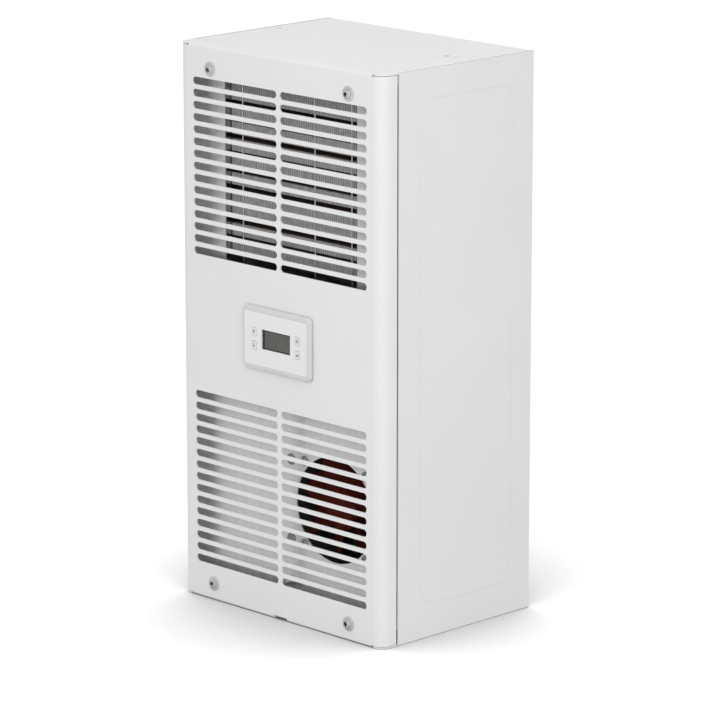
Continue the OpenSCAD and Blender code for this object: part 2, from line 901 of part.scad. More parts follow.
// One sheet folded into the chamber's front wall and floor
module air_partition() {
    top_z = unit_h - sheet_t - seam;
    back_y = rear_panel_y - seat;
    color("#bfc1c2") difference() {
        slab_x(-nest_half, 2 * nest_half) {
            area([partition_y, shelf_z + fold_r], [partition_back_y, top_z]);
            quarter_ring([partition_y + fold_r, shelf_z + fold_r], fold_r, fold_r - sheet_t, [-1, -1]);
            area([partition_y + fold_r, shelf_z], [back_y - sheet_t, shelf_z + sheet_t]);
            area([partition_back_y, top_z - sheet_t], [partition_back_y + lip, top_z]);
            area([back_y - sheet_t, shelf_z - lip], [back_y, shelf_z + sheet_t]);
        }
        for (p = [
            [drain_x, drain_y, drain_r],
            [suction_x, suction_y, suction_r],
            [capillary_x, evap_in.x, capillary_r]
        ])
            translate([p.x, p.y, shelf_z - over]) cylinder(h = sheet_t + 2 * over, r = p.z + tray_wall);
        for (p = rear_screw_places) translate([p.x, 0, p.y]) bar_y(rear_y - m4_len, m4_len, m4_r + run_gap);
        for (x = [-nest_half, nest_half]) translate([x, 0, unit_h])
            cube([2 * fold_r + 2 * lip, unit_w, 2 * lip], center = true);
    }
}

// Control panel

module key_window(g) {
    round_area([-key_w / 2 - g, -key_h / 2 - g], [key_w / 2 + g, key_h / 2 + g], key_w / 6 + g);
}

module at_key(col, row) {
    translate([col * key_col + display_shift / 2, panel_z + row * key_row]) children();
}

// The panel's outline, drawn in by the given inset
module bezel_outline(inset) {
    round_area([-bezel_w / 2 + inset, panel_z - bezel_h / 2 + inset],
        [bezel_w / 2 - inset, panel_z + bezel_h / 2 - inset], bezel_corner, $fn = 32);
}

// A low moulding with a rounded rim, standing on a foot that leaves a shadow line
module controller_bezel() {
    shoulder = bezel_base + bezel_shoulder_shares[1] * (bezel_proud - bezel_base);
    color("#ececec") difference() {
        union() {
            hull() {
                slab_y(front_y - bezel_base, bezel_base - bezel_reveal) bezel_outline(0);
                slab_y(front_y - shoulder, shoulder - bezel_reveal)
                    bezel_outline(bezel_shoulder_shares[0] * bezel_rim);
                slab_y(bezel_front_y, bezel_proud - bezel_reveal) bezel_outline(bezel_rim);
            }
            slab_y(bezel_front_y + bezel_wall, bezel_proud - bezel_wall - seat)
                bezel_outline(bezel_reveal_set);
        }
        slab_y(bezel_front_y + bezel_wall, bezel_proud + over) round_area(
            [-case_w / 2 + bezel_wall, panel_z - case_h / 2 + bezel_wall],
            [case_w / 2 - bezel_wall, panel_z + case_h / 2 - bezel_wall], bezel_wall);
        slab_y(bezel_front_y - over, bezel_wall + 2 * over) {
            area([display_shift - display_w / 2, panel_z + display_shift - display_h / 2],
                [display_shift + display_w / 2, panel_z + display_shift + display_h / 2]);
            for (col = [-1, 1], row = [-1, 1]) at_key(col, row) key_window(key_gap);
        }
    }
}

module display_window() {
    y = bezel_front_y + display_drop;
    color("#60625a") slab_y(y, display_t) area(
        [display_shift - display_w / 2 + seat, panel_z + display_shift - display_h / 2 + seat],
        [display_shift + display_w / 2 - seat, panel_z + display_shift + display_h / 2 - seat]);
}

module key_body(col, row) {
    color("#dcdcdc") {
        slab_y(bezel_front_y - key_proud, key_proud + bezel_wall + seat) at_key(col, row) key_window(0);
        slab_y(bezel_front_y + bezel_wall + seat, key_flange_t)
            at_key(col, row) key_window(key_gap + key_flange);
    }
}

module key_up() key_body(-1, 1);

module key_down() key_body(-1, -1);

module key_menu() key_body(1, 1);

module key_enter() key_body(1, -1);

module keypad_mat() {
    color("#8f9295") {
        slab_y(mat_y, mat_t) difference() {
            area([-case_w / 2 + bezel_wall + mat_margin, panel_z - case_h / 2 + bezel_wall + mat_margin],
                [case_w / 2 - bezel_wall - mat_margin, panel_z + case_h / 2 - bezel_wall - mat_margin]);
            area(
                [display_shift - display_w / 2 - mat_margin,
                    panel_z + display_shift - display_h / 2 - mat_margin],
                [display_shift + display_w / 2 + mat_margin,
                    panel_z + display_shift + display_h / 2 + mat_margin]);
        }
        slab_y(mat_y - dome_h, dome_h) for (col = [-1, 1], row = [-1, 1]) at_key(col, row) circle(dome_r);
    }
}

module controller_board() {
    display_back_y = bezel_front_y + display_drop + display_t;
    color("#2f6b45") {
        slab_y(board_y, board_t) area(
            [-case_w / 2 + bezel_wall + mat_margin, panel_z - case_h / 2 + bezel_wall + mat_margin],
            [case_w / 2 - bezel_wall - mat_margin, panel_z + case_h / 2 - bezel_wall - mat_margin]);
        slab_y(display_back_y, board_y - display_back_y) area(
            [display_shift - display_w / 2, panel_z + display_shift - display_h / 2],
            [display_shift + display_w / 2, panel_z + display_shift + display_h / 2]);
        slab_y(board_y + board_t, board_t * 2) area(
            [-case_w / 4, panel_z - case_h / 4], [case_w / 8, panel_z]);
    }
}

module controller_case() {
    color("#d9dadb") difference() {
        slab_y(case_front_y, case_back_y - case_front_y)
            area([-case_w / 2, panel_z - case_h / 2], [case_w / 2, panel_z + case_h / 2]);
        slab_y(case_front_y - over, case_back_y - case_front_y + over - case_wall) area(
            [-case_w / 2 + case_wall, panel_z - case_h / 2 + case_wall],
            [case_w / 2 - case_wall, panel_z + case_h / 2 - case_wall]);
    }
}

// Coils

module tube_holes(places) {
    for (p = places) translate(p) circle(tube_r + tube_gap);
}

// Straight tubes joined by brazed return bends, right and left in turn
module serpentine(places, half) {
    last = len(places) - 1;
    rod_half = half - cuff_len / 2;
    out_side = last % 2 == 0 ? 1 : -1;
    for (i = [0 : last]) translate([0, places[i].x, places[i].y]) bar_x(-rod_half, 2 * rod_half, tube_r);
    for (p = [[places[0], -1], [places[last], out_side]])
        translate([0, p[0].x, p[0].y]) bar_x(p[1] > 0 ? 0 : -half, half, tube_r);
    for (i = [0 : last - 1]) {
        a = places[i];
        b = places[i + 1];
        side = i % 2 == 0 ? 1 : -1;
        middle = (a + b) / 2;
        translate([side * half, middle.x, middle.y])
            rotate([atan2(b.y - a.y, b.x - a.x), 0, 0])
            rotate([0, 0, -90 * side])
            return_bend(norm(b - a) / 2);
    }
}

// A half turn of tube about the origin with a cuff on each leg
module return_bend(r) {
    rotate_extrude(angle = 180) translate([r, 0]) circle(tube_r + cuff_t);
    for (x = [-r, r]) translate([x, 0, 0]) bar_y(-cuff_len, cuff_len, tube_r + cuff_t);
}

// One fin: a spine at the back with a tab for each band
module condenser_fin_area() {
    low_z = coil_top_z - band_h - (coil_bands - 1) * band_pitch;
    difference() {
        union() {
            area([coil_front_y + band_d, low_z], [coil_front_y + coil_d, coil_top_z]);
            for (k = [0 : coil_bands - 1])
                area([coil_front_y, coil_top_z - band_h - k * band_pitch],
                    [coil_front_y + band_d, coil_top_z - k * band_pitch]);
        }
        tube_holes(condenser_tube_places);
    }
}

module condenser_fins() {
    n = 2 * floor(coil_fin_half / fin_pitch);
    color("#a7aaac") for (i = [0 : n])
        slab_x((i - n / 2) * fin_pitch - fin_t / 2, fin_t) condenser_fin_area();
}

module condenser_tubes() {
    color("#a86a4a") serpentine(condenser_tube_places, coil_end);
}

module condenser_end_plates() {
    z0 = window_low_z - end_plate_over;
    color("#9c9fa1") for (side = [0, 1]) mirror([side, 0, 0]) {
        slab_x(coil_half, end_plate_t) difference() {
            area([baffle_back_y + seat, z0], [coil_front_y + coil_d + bend_stick, z0 + end_plate_h]);
            tube_holes(condenser_tube_places);
        }
        slab_y(baffle_back_y + seat, end_plate_t)
            area([coil_half, z0], [coil_half + end_plate_lip, z0 + end_plate_h]);
    }
}

module condenser_guard_wires() {
    y = coil_front_y - seat - guard_wire_r;
    color("#d5d6d7") for (i = [0 : guard_wires - 1])
        translate([(i - (guard_wires - 1) / 2) * guard_wire_fins * fin_pitch, y, window_low_z - lip / 2])
            cylinder(h = window_h + lip, r = guard_wire_r);
}

module evaporator_fins() {
    n = floor(2 * evap_half / fin_pitch);
    color("#b4b7b9") for (i = [0 : n]) slab_x((i - n / 2) * fin_pitch - fin_t / 2, fin_t) difference() {
        area([evap_front_y, evap_low_z], [evap_front_y + evap_d, evap_low_z + evap_h]);
        tube_holes(evaporator_tube_places);
    }
}

module evaporator_tubes() {
    color("#a86a4a") serpentine(evaporator_tube_places, evap_coil_end);
}

module evaporator_end_plates() {
    color("#9c9fa1") for (side = [0, 1]) mirror([side, 0, 0]) {
        slab_x(evap_half + end_plate_t, end_plate_t) difference() {
            area([partition_back_y + seat, evap_low_z - bend_stick],
                [rear_panel_y - seat, evap_low_z + evap_h + bend_stick]);
            tube_holes(evaporator_tube_places);
        }
        slab_y(partition_back_y + seat, end_plate_t) area(
            [evap_half + end_plate_t, evap_low_z - bend_stick],
            [evap_half + end_plate_t + end_plate_lip, evap_low_z + evap_h + bend_stick]);
    }
}

// Fans

module at_condenser_fan() translate([fan_x, baffle_back_y + seat, fan_rise]) children();

module at_evaporator_fan() translate([0, rear_panel_y - seat, evap_fan_z]) mirror([0, 1, 0]) children();

module fan_ring() {
    difference() {
        union() {
            bar_y(0, fan_depth, bore_r + ring_wall);
            bar_y(0, ring_lip_t, bore_r + ring_lip);
            bar_y(fan_depth - ring_rib_t, ring_rib_t, bore_r + ring_lip);
            slab_y(0, ear_t) for (turn = [45 : 90 : 315]) rotate(turn) {
                area([0, -ear_r], [fan_square / sqrt(2), ear_r]);
                translate([fan_square / sqrt(2), 0]) circle(ear_r);
            }
        }
        bar_y(-over, fan_depth + 2 * over, bore_r);
        fan_screw_places() bar_y(-over, ear_t + 2 * over, fan_screw_r + run_gap);
    }
}

module fan_motor(set = hub_set) {
    plate_y = fan_depth + seat;
    bar_y(set + boss_d + run_gap, plate_y - set - boss_d, motor_r);
    bar_y(set, hub_d, shaft_r);
    bar_y(plate_y, strut_t, plate_r);
    bar_y(plate_y, motor_tail_d, motor_tail_r);
    slab_y(plate_y, strut_t) for (i = [0 : struts - 1]) rotate(i * 360 / struts)
        area([0, -strut_w / 2], [bore_r + ring_wall, strut_w / 2]);
}

// Section of a cambered blade, in y and z
module blade_area() {
    rotate(blade_tilt) translate([-blade_camber_r, 0]) intersection() {
        difference() {
            circle(blade_camber_r);
            circle(blade_camber_r - blade_t);
        }
        area([0, -blade_chord / 2], [2 * blade_camber_r, blade_chord / 2]);
    }
}

module fan_impeller(set = hub_set) {
    difference() {
        union() {
            difference() {
                union() {
                    bar_y(set, hub_d, hub_r);
                    for (i = [0 : blades - 1]) rotate([0, i * 360 / blades, 0]) intersection() {
                        translate([0, set + hub_d / 2, 0])
                            slab_x(hub_r * blade_root_share, tip_r) blade_area();
                        bar_y(set - hub_d, 3 * hub_d, tip_r);
                    }
                }
                bar_y(set + hub_wall, hub_d * 2, hub_r - hub_wall);
            }
            bar_y(set, boss_d, boss_r);
        }
        bar_y(set - over, boss_d + 2 * over, shaft_r + run_gap);
    }
}

module condenser_fan_ring() color("#2b2b2c") at_condenser_fan() fan_ring();

module condenser_fan_motor() color("#232324") at_condenser_fan() fan_motor();

module condenser_fan_impeller() color("#4a1f18") at_condenser_fan() fan_impeller();

module condenser_fan_screws() {
    color("#c2c4c5") translate([fan_x, baffle_y - seat, fan_rise]) fan_screw_places()
        pan_screw(fan_screw_r, fan_screw_head_r, fan_screw_head_h, fan_screw_len);
}

module evaporator_fan_ring() color("#2b2b2c") at_evaporator_fan() fan_ring();

module evaporator_fan_motor() color("#232324") at_evaporator_fan() fan_motor(evap_hub_set);

module evaporator_fan_impeller() color("#3a3b3d") at_evaporator_fan() fan_impeller(evap_hub_set);

module evaporator_fan_guard() {
    spoke_y = rear_panel_back_y + seat + guard_r;
    ring_y = spoke_y + 2 * guard_r + run_gap;
    reach = fan_square / sqrt(2) - ear_r / 2 - fan_screw_r;
    color("#a5a7a9") translate([0, 0, evap_fan_z]) {
        for (i = [0 : guard_rings - 1]) translate([0, ring_y, 0]) rotate([90, 0, 0])
            rotate_extrude() translate([guard_first_r + i * guard_pitch, 0]) circle(guard_r);
        for (turn = [45 : 90 : 315]) rotate([0, turn, 0])
            translate([0, spoke_y, 0]) bar_x(guard_first_r, reach - guard_first_r, guard_r);
        fan_screw_places() difference() {
            bar_y(spoke_y - guard_eye_t / 2, guard_eye_t, ear_r);
            bar_y(spoke_y - guard_eye_t, 2 * guard_eye_t, fan_screw_r + run_gap);
        }
    }
}

module evaporator_fan_screws() {
    y = rear_panel_back_y + 2 * seat + guard_r + guard_eye_t / 2;
    color("#c2c4c5") translate([0, y, evap_fan_z]) mirror([0, 1, 0]) fan_screw_places()
        pan_screw(fan_screw_r, guard_screw_head_r, guard_screw_head_h, fan_screw_len);
}

// Drain

module drip_tray() {
    y0 = partition_back_y + tray_gap;
    y1 = rear_panel_y - tray_gap;
    z = shelf_z + sheet_t + seat;
    color("#c8cacc") difference() {
        union() {
            slab_z(z, tray_h) area([-tray_half, y0], [tray_half, y1]);
            translate([drain_x, drain_y, z - hose_lap - sheet_t])
                cylinder(h = hose_lap + sheet_t + tray_wall, r = drain_r);
        }
        slab_z(z + tray_wall, tray_h)
            area([-tray_half + tray_wall, y0 + tray_wall], [tray_half - tray_wall, y1 - tray_wall]);
        translate([drain_x, drain_y, z - hose_lap - sheet_t - over])
            cylinder(h = hose_lap + sheet_t + tray_wall + 2 * over, r = drain_r - drain_wall);
    }
}

module drain_hose() {
    z0 = base_top_z + spout_flange_t + seat;
    z1 = shelf_z - seat;
    color("#d9dcdf") translate([drain_x, drain_y, z0]) difference() {
        cylinder(h = z1 - z0, r = drain_r + run_gap + hose_wall);
        translate([0, 0, -over]) cylinder(h = z1 - z0 + 2 * over, r = drain_r + run_gap);
    }
}

module drain_spout() {
    color("#1f2021") translate([drain_x, drain_y, 0]) difference() {
        union() {
            translate([0, 0, base_rise - spout_drop]) cylinder(h = spout_drop + spout_up, r = drain_r);
            translate([0, 0, base_rise - seat - spout_nut_t]) cylinder(h = spout_nut_t, r = spout_nut_r);
            translate([0, 0, base_top_z]) cylinder(h = spout_flange_t, r = spout_flange_r);
        }
        translate([0, 0, base_rise - spout_drop - over])
            cylinder(h = spout_drop + spout_up + 2 * over, r = drain_r - drain_wall);
    }
}

// Compressor and refrigerant lines

module foot_places() {
    for (x = [-1, 1], y = [-1, 1])
        translate([comp_x + x * (foot_half_x - foot_pad_r), comp_y + y * (foot_half_y - foot_pad_r), 0])
            children();
}

// Two pressed halves with a welded seam, drawn as one revolved outline
module compressor_shell() {
    mid_z = shell_h * shell_seam_share;
    dome_r = (shell_r * shell_r + shell_dome * shell_dome) / (2 * shell_dome);
    color("#1c1c1d") translate([comp_x, comp_y, shell_z + seat]) {
        rotate_extrude() {
            area([0, 0], [shell_foot_r, shell_dome]);
            area([0, shell_dome], [shell_r, shell_h - shell_dome]);
            intersection() {
                translate([0, dome_r]) circle(dome_r);
                area([0, 0], [shell_r, shell_dome]);
            }
            intersection() {
                translate([0, shell_h - dome_r]) circle(dome_r);
                area([0, shell_h - shell_dome], [shell_r, shell_h]);
            }
            area([0, mid_z], [shell_r + shell_seam_out, mid_z + shell_seam_h]);
        }
        for (p = [[discharge_off, 0, line_r], [-discharge_off, 0, line_r]])
            translate([p.x, p.y, shell_h - shell_dome / 2])
                cylinder(h = shell_dome / 2 + port_len, r = p.z + drain_wall);
    }
}

module compressor_foot_plate() {
    color("#1c1c1d") difference() {
        slab_z(foot_z, foot_t) round_area([comp_x - foot_half_x, comp_y - foot_half_y],
            [comp_x + foot_half_x, comp_y + foot_half_y], foot_pad_r);
        foot_places() translate([0, 0, foot_z - over])
            cylinder(h = foot_t + 2 * over, r = grommet_r - grommet_neck + run_gap);
    }
}

// Rubber bushes with a neck that grips the foot plate
module compressor_grommets() {
    neck_r = grommet_r - grommet_neck;
    color("#2e2e2e") foot_places() translate([0, 0, base_top_z + seat]) rotate_extrude() difference() {
        area([0, 0], [grommet_r, grommet_h]);
        area([0, -over], [m6_r + run_gap, grommet_h + over]);
        area([neck_r, foot_z - base_top_z - 2 * seat], [grommet_r + over, foot_z - base_top_z + foot_t]);
    }
}

module compressor_bolts() {
    color("#b7b9bb") foot_places() {
        translate([0, 0, base_rise - m6_head_h - seat]) cylinder(h = m6_head_h, r = m6_head_r, $fn = 6);
        translate([0, 0, base_rise - seat - over])
            cylinder(h = grommet_h + sheet_t + m6_head_h + 2 * over, r = m6_r);
        translate([0, 0, base_top_z + grommet_h + 2 * seat])
            cylinder(h = m6_head_h, r = m6_head_r, $fn = 6);
    }
}

module compressor_terminal_cover() {
    y = comp_y + shell_r - cap_d / 4;
    color("#161617") difference() {
        slab_y(y, cap_d) translate([comp_x, shell_z + cap_rise])
            round_area([-cap_w / 2, 0], [cap_w / 2, cap_h], cap_r);
        translate([comp_x, comp_y, shell_z]) cylinder(h = shell_h, r = shell_r + shell_seam_out + seat);
    }
}

// From the shell up the front chamber to the condenser's inlet
module discharge_line() {
    x = comp_x - discharge_off;
    up_z = port_top_z + line_bend + line_r;
    color("#a86a4a") swept_tube(rounded_route([
        [x, comp_y, port_top_z + seat],
        [x, comp_y, up_z],
        [x, front_run_y, up_z],
        [-riser_x, front_run_y, up_z],
        [-riser_x, front_run_y, coil_in.y],
        [-riser_x, coil_in.x, coil_in.y],
        [-coil_end - seat, coil_in.x, coil_in.y]
    ], line_bend), line_r);
}

// From the evaporator's outlet down to the shell
module suction_line() {
    x = comp_x + discharge_off;
    up_z = port_top_z + line_bend + line_r;
    color("#a86a4a") swept_tube(rounded_route([
        [-evap_coil_end - seat, evap_out.x, evap_out.y],
        [suction_x, evap_out.x, evap_out.y],
        [suction_x, suction_y, evap_out.y],
        [suction_x, suction_y, up_z],
        [x, suction_y, up_z],
        [x, comp_y, up_z],
        [x, comp_y, port_top_z + seat]
    ], line_bend), line_r);
}

// From the condenser's outlet to the drier
module liquid_line() {
    up_z = drier_rise + drier_h + drier_neck + line_bend + line_r;
    color("#a86a4a") swept_tube(rounded_route([
        [coil_end + seat, coil_out.x, coil_out.y],
        [riser_x, coil_out.x, coil_out.y],
        [riser_x, front_run_y, coil_out.y],
        [riser_x, front_run_y, up_z],
        [riser_x, drier_y, up_z],
        [drier_x, drier_y, up_z],
        [drier_x, drier_y, drier_rise + drier_h + drier_neck + seat]
    ], line_bend), liquid_r);
}

module filter_drier() {
    color("#a86a4a") translate([drier_x, drier_y, drier_rise]) rotate_extrude() polygon([
        [0, -drier_neck], [liquid_r, -drier_neck], [liquid_r, 0], [drier_r, drier_cone],
        [drier_r, drier_h - drier_cone], [liquid_r, drier_h], [liquid_r, drier_h + drier_neck],
        [0, drier_h + drier_neck]
    ]);
}

// Thin tube with its spare length coiled between the drier and the evaporator
module capillary_tube() {
    low_z = drier_rise - drier_neck - seat;
    turn_z = low_z - line_bend - capillary_r;
    up_z = shelf_z - 2 * line_bend;
    coil = [for (i = [0 : cap_coil_turns * cap_coil_steps])
        let (turn = 270 + 360 * i / cap_coil_steps)
        [cap_coil_x + cap_coil_r * cos(turn), drier_y + cap_coil_r * sin(turn),
            turn_z + cap_coil_pitch * i / cap_coil_steps]];
    end = coil[len(coil) - 1];
    lead_in = rounded_route([
        [drier_x, drier_y, low_z],
        [drier_x, drier_y, turn_z],
        [drier_x, coil[0].y, turn_z],
        coil[0]
    ], line_bend / 2);
    lead_out = rounded_route([
        end,
        [end.x + cap_coil_r + line_bend, end.y, end.z],
        [end.x + cap_coil_r + line_bend, end.y, up_z],
        [capillary_x, end.y, up_z],
        [capillary_x, evap_in.x, up_z],
        [capillary_x, evap_in.x, evap_in.y],
        [-evap_coil_end - seat, evap_in.x, evap_in.y]
    ], line_bend / 2);
    color("#b5765a") swept_tube(concat(rest(lead_in, 0, 1), coil, rest(lead_out, 1, 0)), capillary_r, 6);
}

// Electrical pieces

module run_capacitor() {
    color("#d4d6d8") translate([capacitor_x, capacitor_y, base_top_z + seat]) {
        cylinder(h = capacitor_h, r = capacitor_r);
        for (x = [-1, 1]) translate([x * capacitor_r / 2 - tab_t / 2, -tab_w / 2, capacitor_h - over])
            cube([tab_t, tab_w, tab_h + over]);
    }
}

module capacitor_clamp() {
    r = capacitor_r + seat;
    color("#aeb1b3") translate([capacitor_x, capacitor_y, base_top_z + seat]) difference() {
        union() {
            cylinder(h = clamp_h, r = r + clamp_t);
            translate([-clamp_foot / 2, -r - clamp_foot, 0])
                cube([clamp_foot, 2 * (r + clamp_foot), clamp_t]);
        }
        translate([0, 0, -over]) cylinder(h = clamp_h + 2 * over, r = r);
    }
}

module power_connector() {
    y = rear_panel_back_y - connector_d;
    color("#2d7a4a") difference() {
        union() {
            slab_y(y, connector_d) translate([connector_x, connector_rise]) area(
                [-connector_w / 2, -connector_h / 2], [connector_w / 2, connector_h / 2]);
            slab_y(rear_panel_y - seat - connector_flange, connector_flange)
                translate([connector_x, connector_rise]) area(
                    [-connector_w / 2 - connector_flange, -connector_h / 2 - connector_flange],
                    [connector_w / 2 + connector_flange, connector_h / 2 + connector_flange]);
        }
        for (i = [0 : connector_poles - 1]) slab_y(rear_panel_back_y - connector_d / 2, connector_d)
            translate([connector_x + (i - (connector_poles - 1) / 2) * connector_w / connector_poles,
                connector_rise])
                area([-connector_h / 5, -connector_h / 5], [connector_h / 5, connector_h / 5]);
    }
}

module earth_terminal() {
    y = baffle_y - seat;
    color("#b7b9bb") translate([earth_x, 0, earth_rise]) {
        bar_y(y - earth_stud_len + over, earth_stud_len + sheet_t + earth_nut_h, earth_stud_r);
        translate([0, y - earth_lug_t - earth_nut_h, 0]) rotate([-90, 0, 0])
            cylinder(h = earth_nut_h, r = earth_nut_r, $fn = 6);
        slab_y(y - earth_lug_t, earth_lug_t) {
            circle(earth_lug_r);
            area([0, -earth_lug_r / 2], [earth_lug_len, earth_lug_r / 2]);
        }
        translate([0, baffle_back_y + seat, 0]) rotate([-90, 0, 0])
            cylinder(h = earth_nut_h, r = earth_nut_r, $fn = 6);
    }
}

front_cover();
cover_screws();
cover_washers();
cover_standoffs();
left_side_panel();
right_side_panel();
top_panel();
base_panel();
rear_panel();
rear_panel_screws();
rear_seal();
mounting_nuts();
lifting_inserts();
baffle_plate();
baffle_plugs();
air_partition();
controller_bezel();
display_window();
key_up();
key_down();
key_menu();
key_enter();
keypad_mat();
controller_board();
controller_case();
condenser_fins();
condenser_tubes();
condenser_end_plates();
condenser_guard_wires();
condenser_fan_ring();
condenser_fan_motor();
condenser_fan_impeller();
condenser_fan_screws();
evaporator_fins();
evaporator_tubes();
evaporator_end_plates();
evaporator_fan_ring();
evaporator_fan_motor();
evaporator_fan_impeller();
evaporator_fan_guard();
evaporator_fan_screws();
drip_tray();
drain_hose();
drain_spout();
compressor_shell();
compressor_foot_plate();
compressor_grommets();
compressor_bolts();
compressor_terminal_cover();
discharge_line();
suction_line();
liquid_line();
filter_drier();
capillary_tube();
run_capacitor();
capacitor_clamp();
power_connector();
earth_terminal();
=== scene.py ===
# Slim enclosure cooling unit, dressed for the studio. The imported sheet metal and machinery
# keep their shapes and get welded, smoothly shaded walls and finishes. The fine fins, the
# panel's foil and the small prints, which the solids leave out, are modelled here.
# Lengths are in metres.
import json
import math

import bmesh
import bpy
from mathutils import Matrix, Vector


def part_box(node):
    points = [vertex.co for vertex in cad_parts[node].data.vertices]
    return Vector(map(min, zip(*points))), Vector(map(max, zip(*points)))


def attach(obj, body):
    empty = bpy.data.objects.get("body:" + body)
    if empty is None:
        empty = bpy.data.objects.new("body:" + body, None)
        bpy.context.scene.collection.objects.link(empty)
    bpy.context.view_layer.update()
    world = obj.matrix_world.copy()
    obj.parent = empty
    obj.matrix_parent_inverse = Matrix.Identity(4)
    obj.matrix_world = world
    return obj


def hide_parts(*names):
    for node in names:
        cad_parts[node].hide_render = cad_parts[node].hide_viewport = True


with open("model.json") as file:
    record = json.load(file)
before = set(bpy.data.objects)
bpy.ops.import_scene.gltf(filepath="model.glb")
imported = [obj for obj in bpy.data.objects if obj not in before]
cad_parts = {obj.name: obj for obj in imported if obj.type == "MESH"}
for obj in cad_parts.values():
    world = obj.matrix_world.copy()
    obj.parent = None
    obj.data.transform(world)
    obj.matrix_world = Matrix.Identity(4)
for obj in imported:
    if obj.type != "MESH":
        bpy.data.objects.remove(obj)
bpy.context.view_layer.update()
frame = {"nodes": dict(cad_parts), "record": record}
nodes = frame["nodes"]

# Levels taken over from the solids
COVER_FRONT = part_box("front_cover")[0].y
COIL_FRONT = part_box("condenser_fins")[0].y
COIL_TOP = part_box("condenser_fins")[1].z
KEY_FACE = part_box("key_up")[0].y

# Condenser fins, each a deep spine whose front is drawn out in bands
FINS = 74
FIN_SPACING = 0.00248
FIN_THICKNESS = 0.0005
SPINE_DEPTH = 0.006
BANDS = 10
BAND_PITCH = 0.01656
BAND_HEIGHT = 0.0117
BAND_DEPTH = 0.024
FIRST_BAND_RISE = 0.0058
# Fins darken inwards from their front edges: painted shade between the fins, with some dust
FIN_PALE_DEPTH = 0.0004
FIN_SHADE_DEPTH = 0.004
FIN_SHADE_AND_DUST = (0.13, 0.095, 0.08)

# Cover screws, with the depths between which their sockets lie behind the heads' tops
SCREW_HEAD_R = 0.0055
SOCKET_R = 0.0021
SOCKET_START = 0.0002
SOCKET_END = 0.004

# Control panel
PANEL_REVEAL = 0.0007
FOIL_HALF_W = 0.0426
FOIL_HALF_H = 0.0258
FOIL_T = 0.00015
FOIL_BED_DEPTH = 0.0002
# Widths of the display's dark rim at the left, right, bottom and top: black frame and painted shade of
# the recess
GLASS_RIM_AND_SHADE = (0.0026, 0.0004, 0.001, 0.0011)
PRINT_T = 0.00005
ARROW_NECK = 0.00001
ARROW_POINT_SHARE = 0.06

# Welding, shading and picking of faces
WELD_GAP = 0.000002
FLAT_ANGLE = math.radians(0.5)
SMOOTH_ANGLE = math.radians(30)
FACING = 0.9
FACING_FLAT = 0.99
# Depth of the side panels' top edges that carry the painted joint shade
JOINT_SHADE_DEPTH = 0.0005

# Studio: the floor's tone, a painted shadow, runs from its near to its far value by how open it lies
FLOOR_SIZE = 60
FLOOR_GAP = 0.0005
FLOOR_MATT = 0.68
FLOOR_SHADE = (0.34, 0.86)
FLOOR_GLOW = (0.0, 0.34)
FLOOR_OPENNESS = (0.28, 0.82)
FLOOR_REACH = 1.2
FLOOR_SAMPLES = 16
AMBIENT = 0.82

# Camera, fitted to a frame 726 pixels high
SENSOR = 36
FRAME_HEIGHT = 726
FOCAL_PIXELS = 4251.08
CAMERA_X = 2.85189
CAMERA_AHEAD = 2.71727
CAMERA_Z = 1.21682
CAMERA_YAW = -0.79048
CAMERA_PITCH = 0.23935
FAR_CLIP = 200


# Finishes

def start_finish(name, colour, rough, metal=0.0):
    """A fresh material with its shader, and one place for every pattern: the object's own axes."""
    finish = bpy.data.materials.new(name)
    finish.use_nodes = True
    tree = finish.node_tree
    shader = tree.nodes["Principled BSDF"]
    shader.inputs["Base Color"].default_value = (*colour, 1)
    shader.inputs["Roughness"].default_value = rough
    shader.inputs["Metallic"].default_value = metal
    place = tree.nodes.new("ShaderNodeTexCoord")
    place.name = "place"
    return finish, tree, shader


def stretched(tree, stretch=(1, 1, 1)):
    """Object coordinates, scaled along each axis."""
    mapping = tree.nodes.new("ShaderNodeMapping")
    mapping.inputs["Scale"].default_value = stretch
    tree.links.new(tree.nodes["place"].outputs["Object"], mapping.inputs["Vector"])
    return mapping.outputs["Vector"]


def speckle(tree, scale, detail=2.0, stretch=(1, 1, 1), rough=0.5):
    """Noise in the object's own space."""
    noise = tree.nodes.new("ShaderNodeTexNoise")
    noise.inputs["Scale"].default_value = scale
    noise.inputs["Detail"].default_value = detail
    noise.inputs["Roughness"].default_value = rough
    tree.links.new(stretched(tree, stretch), noise.inputs["Vector"])
    return noise.outputs["Fac"]


def cells(tree, scale):
    """Small irregular cells in the object's own space."""
    pattern = tree.nodes.new("ShaderNodeTexVoronoi")
    pattern.inputs["Scale"].default_value = scale
    tree.links.new(stretched(tree), pattern.inputs["Vector"])
    return pattern


def between(tree, factor, low=0, high=1, start=0.3, end=0.7):
    """A number that runs from low to high as the pattern runs from start to end."""
    ramp = tree.nodes.new("ShaderNodeMapRange")
    ramp.inputs["From Min"].default_value = start
    ramp.inputs["From Max"].default_value = end
    ramp.inputs["To Min"].default_value = low
    ramp.inputs["To Max"].default_value = high
    tree.links.new(factor, ramp.inputs["Value"])
    return ramp.outputs["Result"]


def tint(tree, factor, first, second):
    """A colour between two, by the pattern."""
    mix = tree.nodes.new("ShaderNodeMix")
    mix.data_type = "RGBA"
    mix.inputs["A"].default_value = (*first, 1)
    mix.inputs["B"].default_value = (*second, 1)
    tree.links.new(factor, mix.inputs["Factor"])
    return mix.outputs["Result"]


def shade_of(colour, factor):
    return tuple(c * factor for c in colour)


def colour_by(tree, shader, factor, colour, first, second):
    """Lets the colour vary by the pattern, from one shade of itself to another."""
    tree.links.new(tint(tree, factor, shade_of(colour, first), shade_of(colour, second)),
                   shader.inputs["Base Color"])


def rough_by(tree, shader, factor, low, high):
    """Lets the roughness vary by the pattern."""
    tree.links.new(between(tree, factor, low, high), shader.inputs["Roughness"])


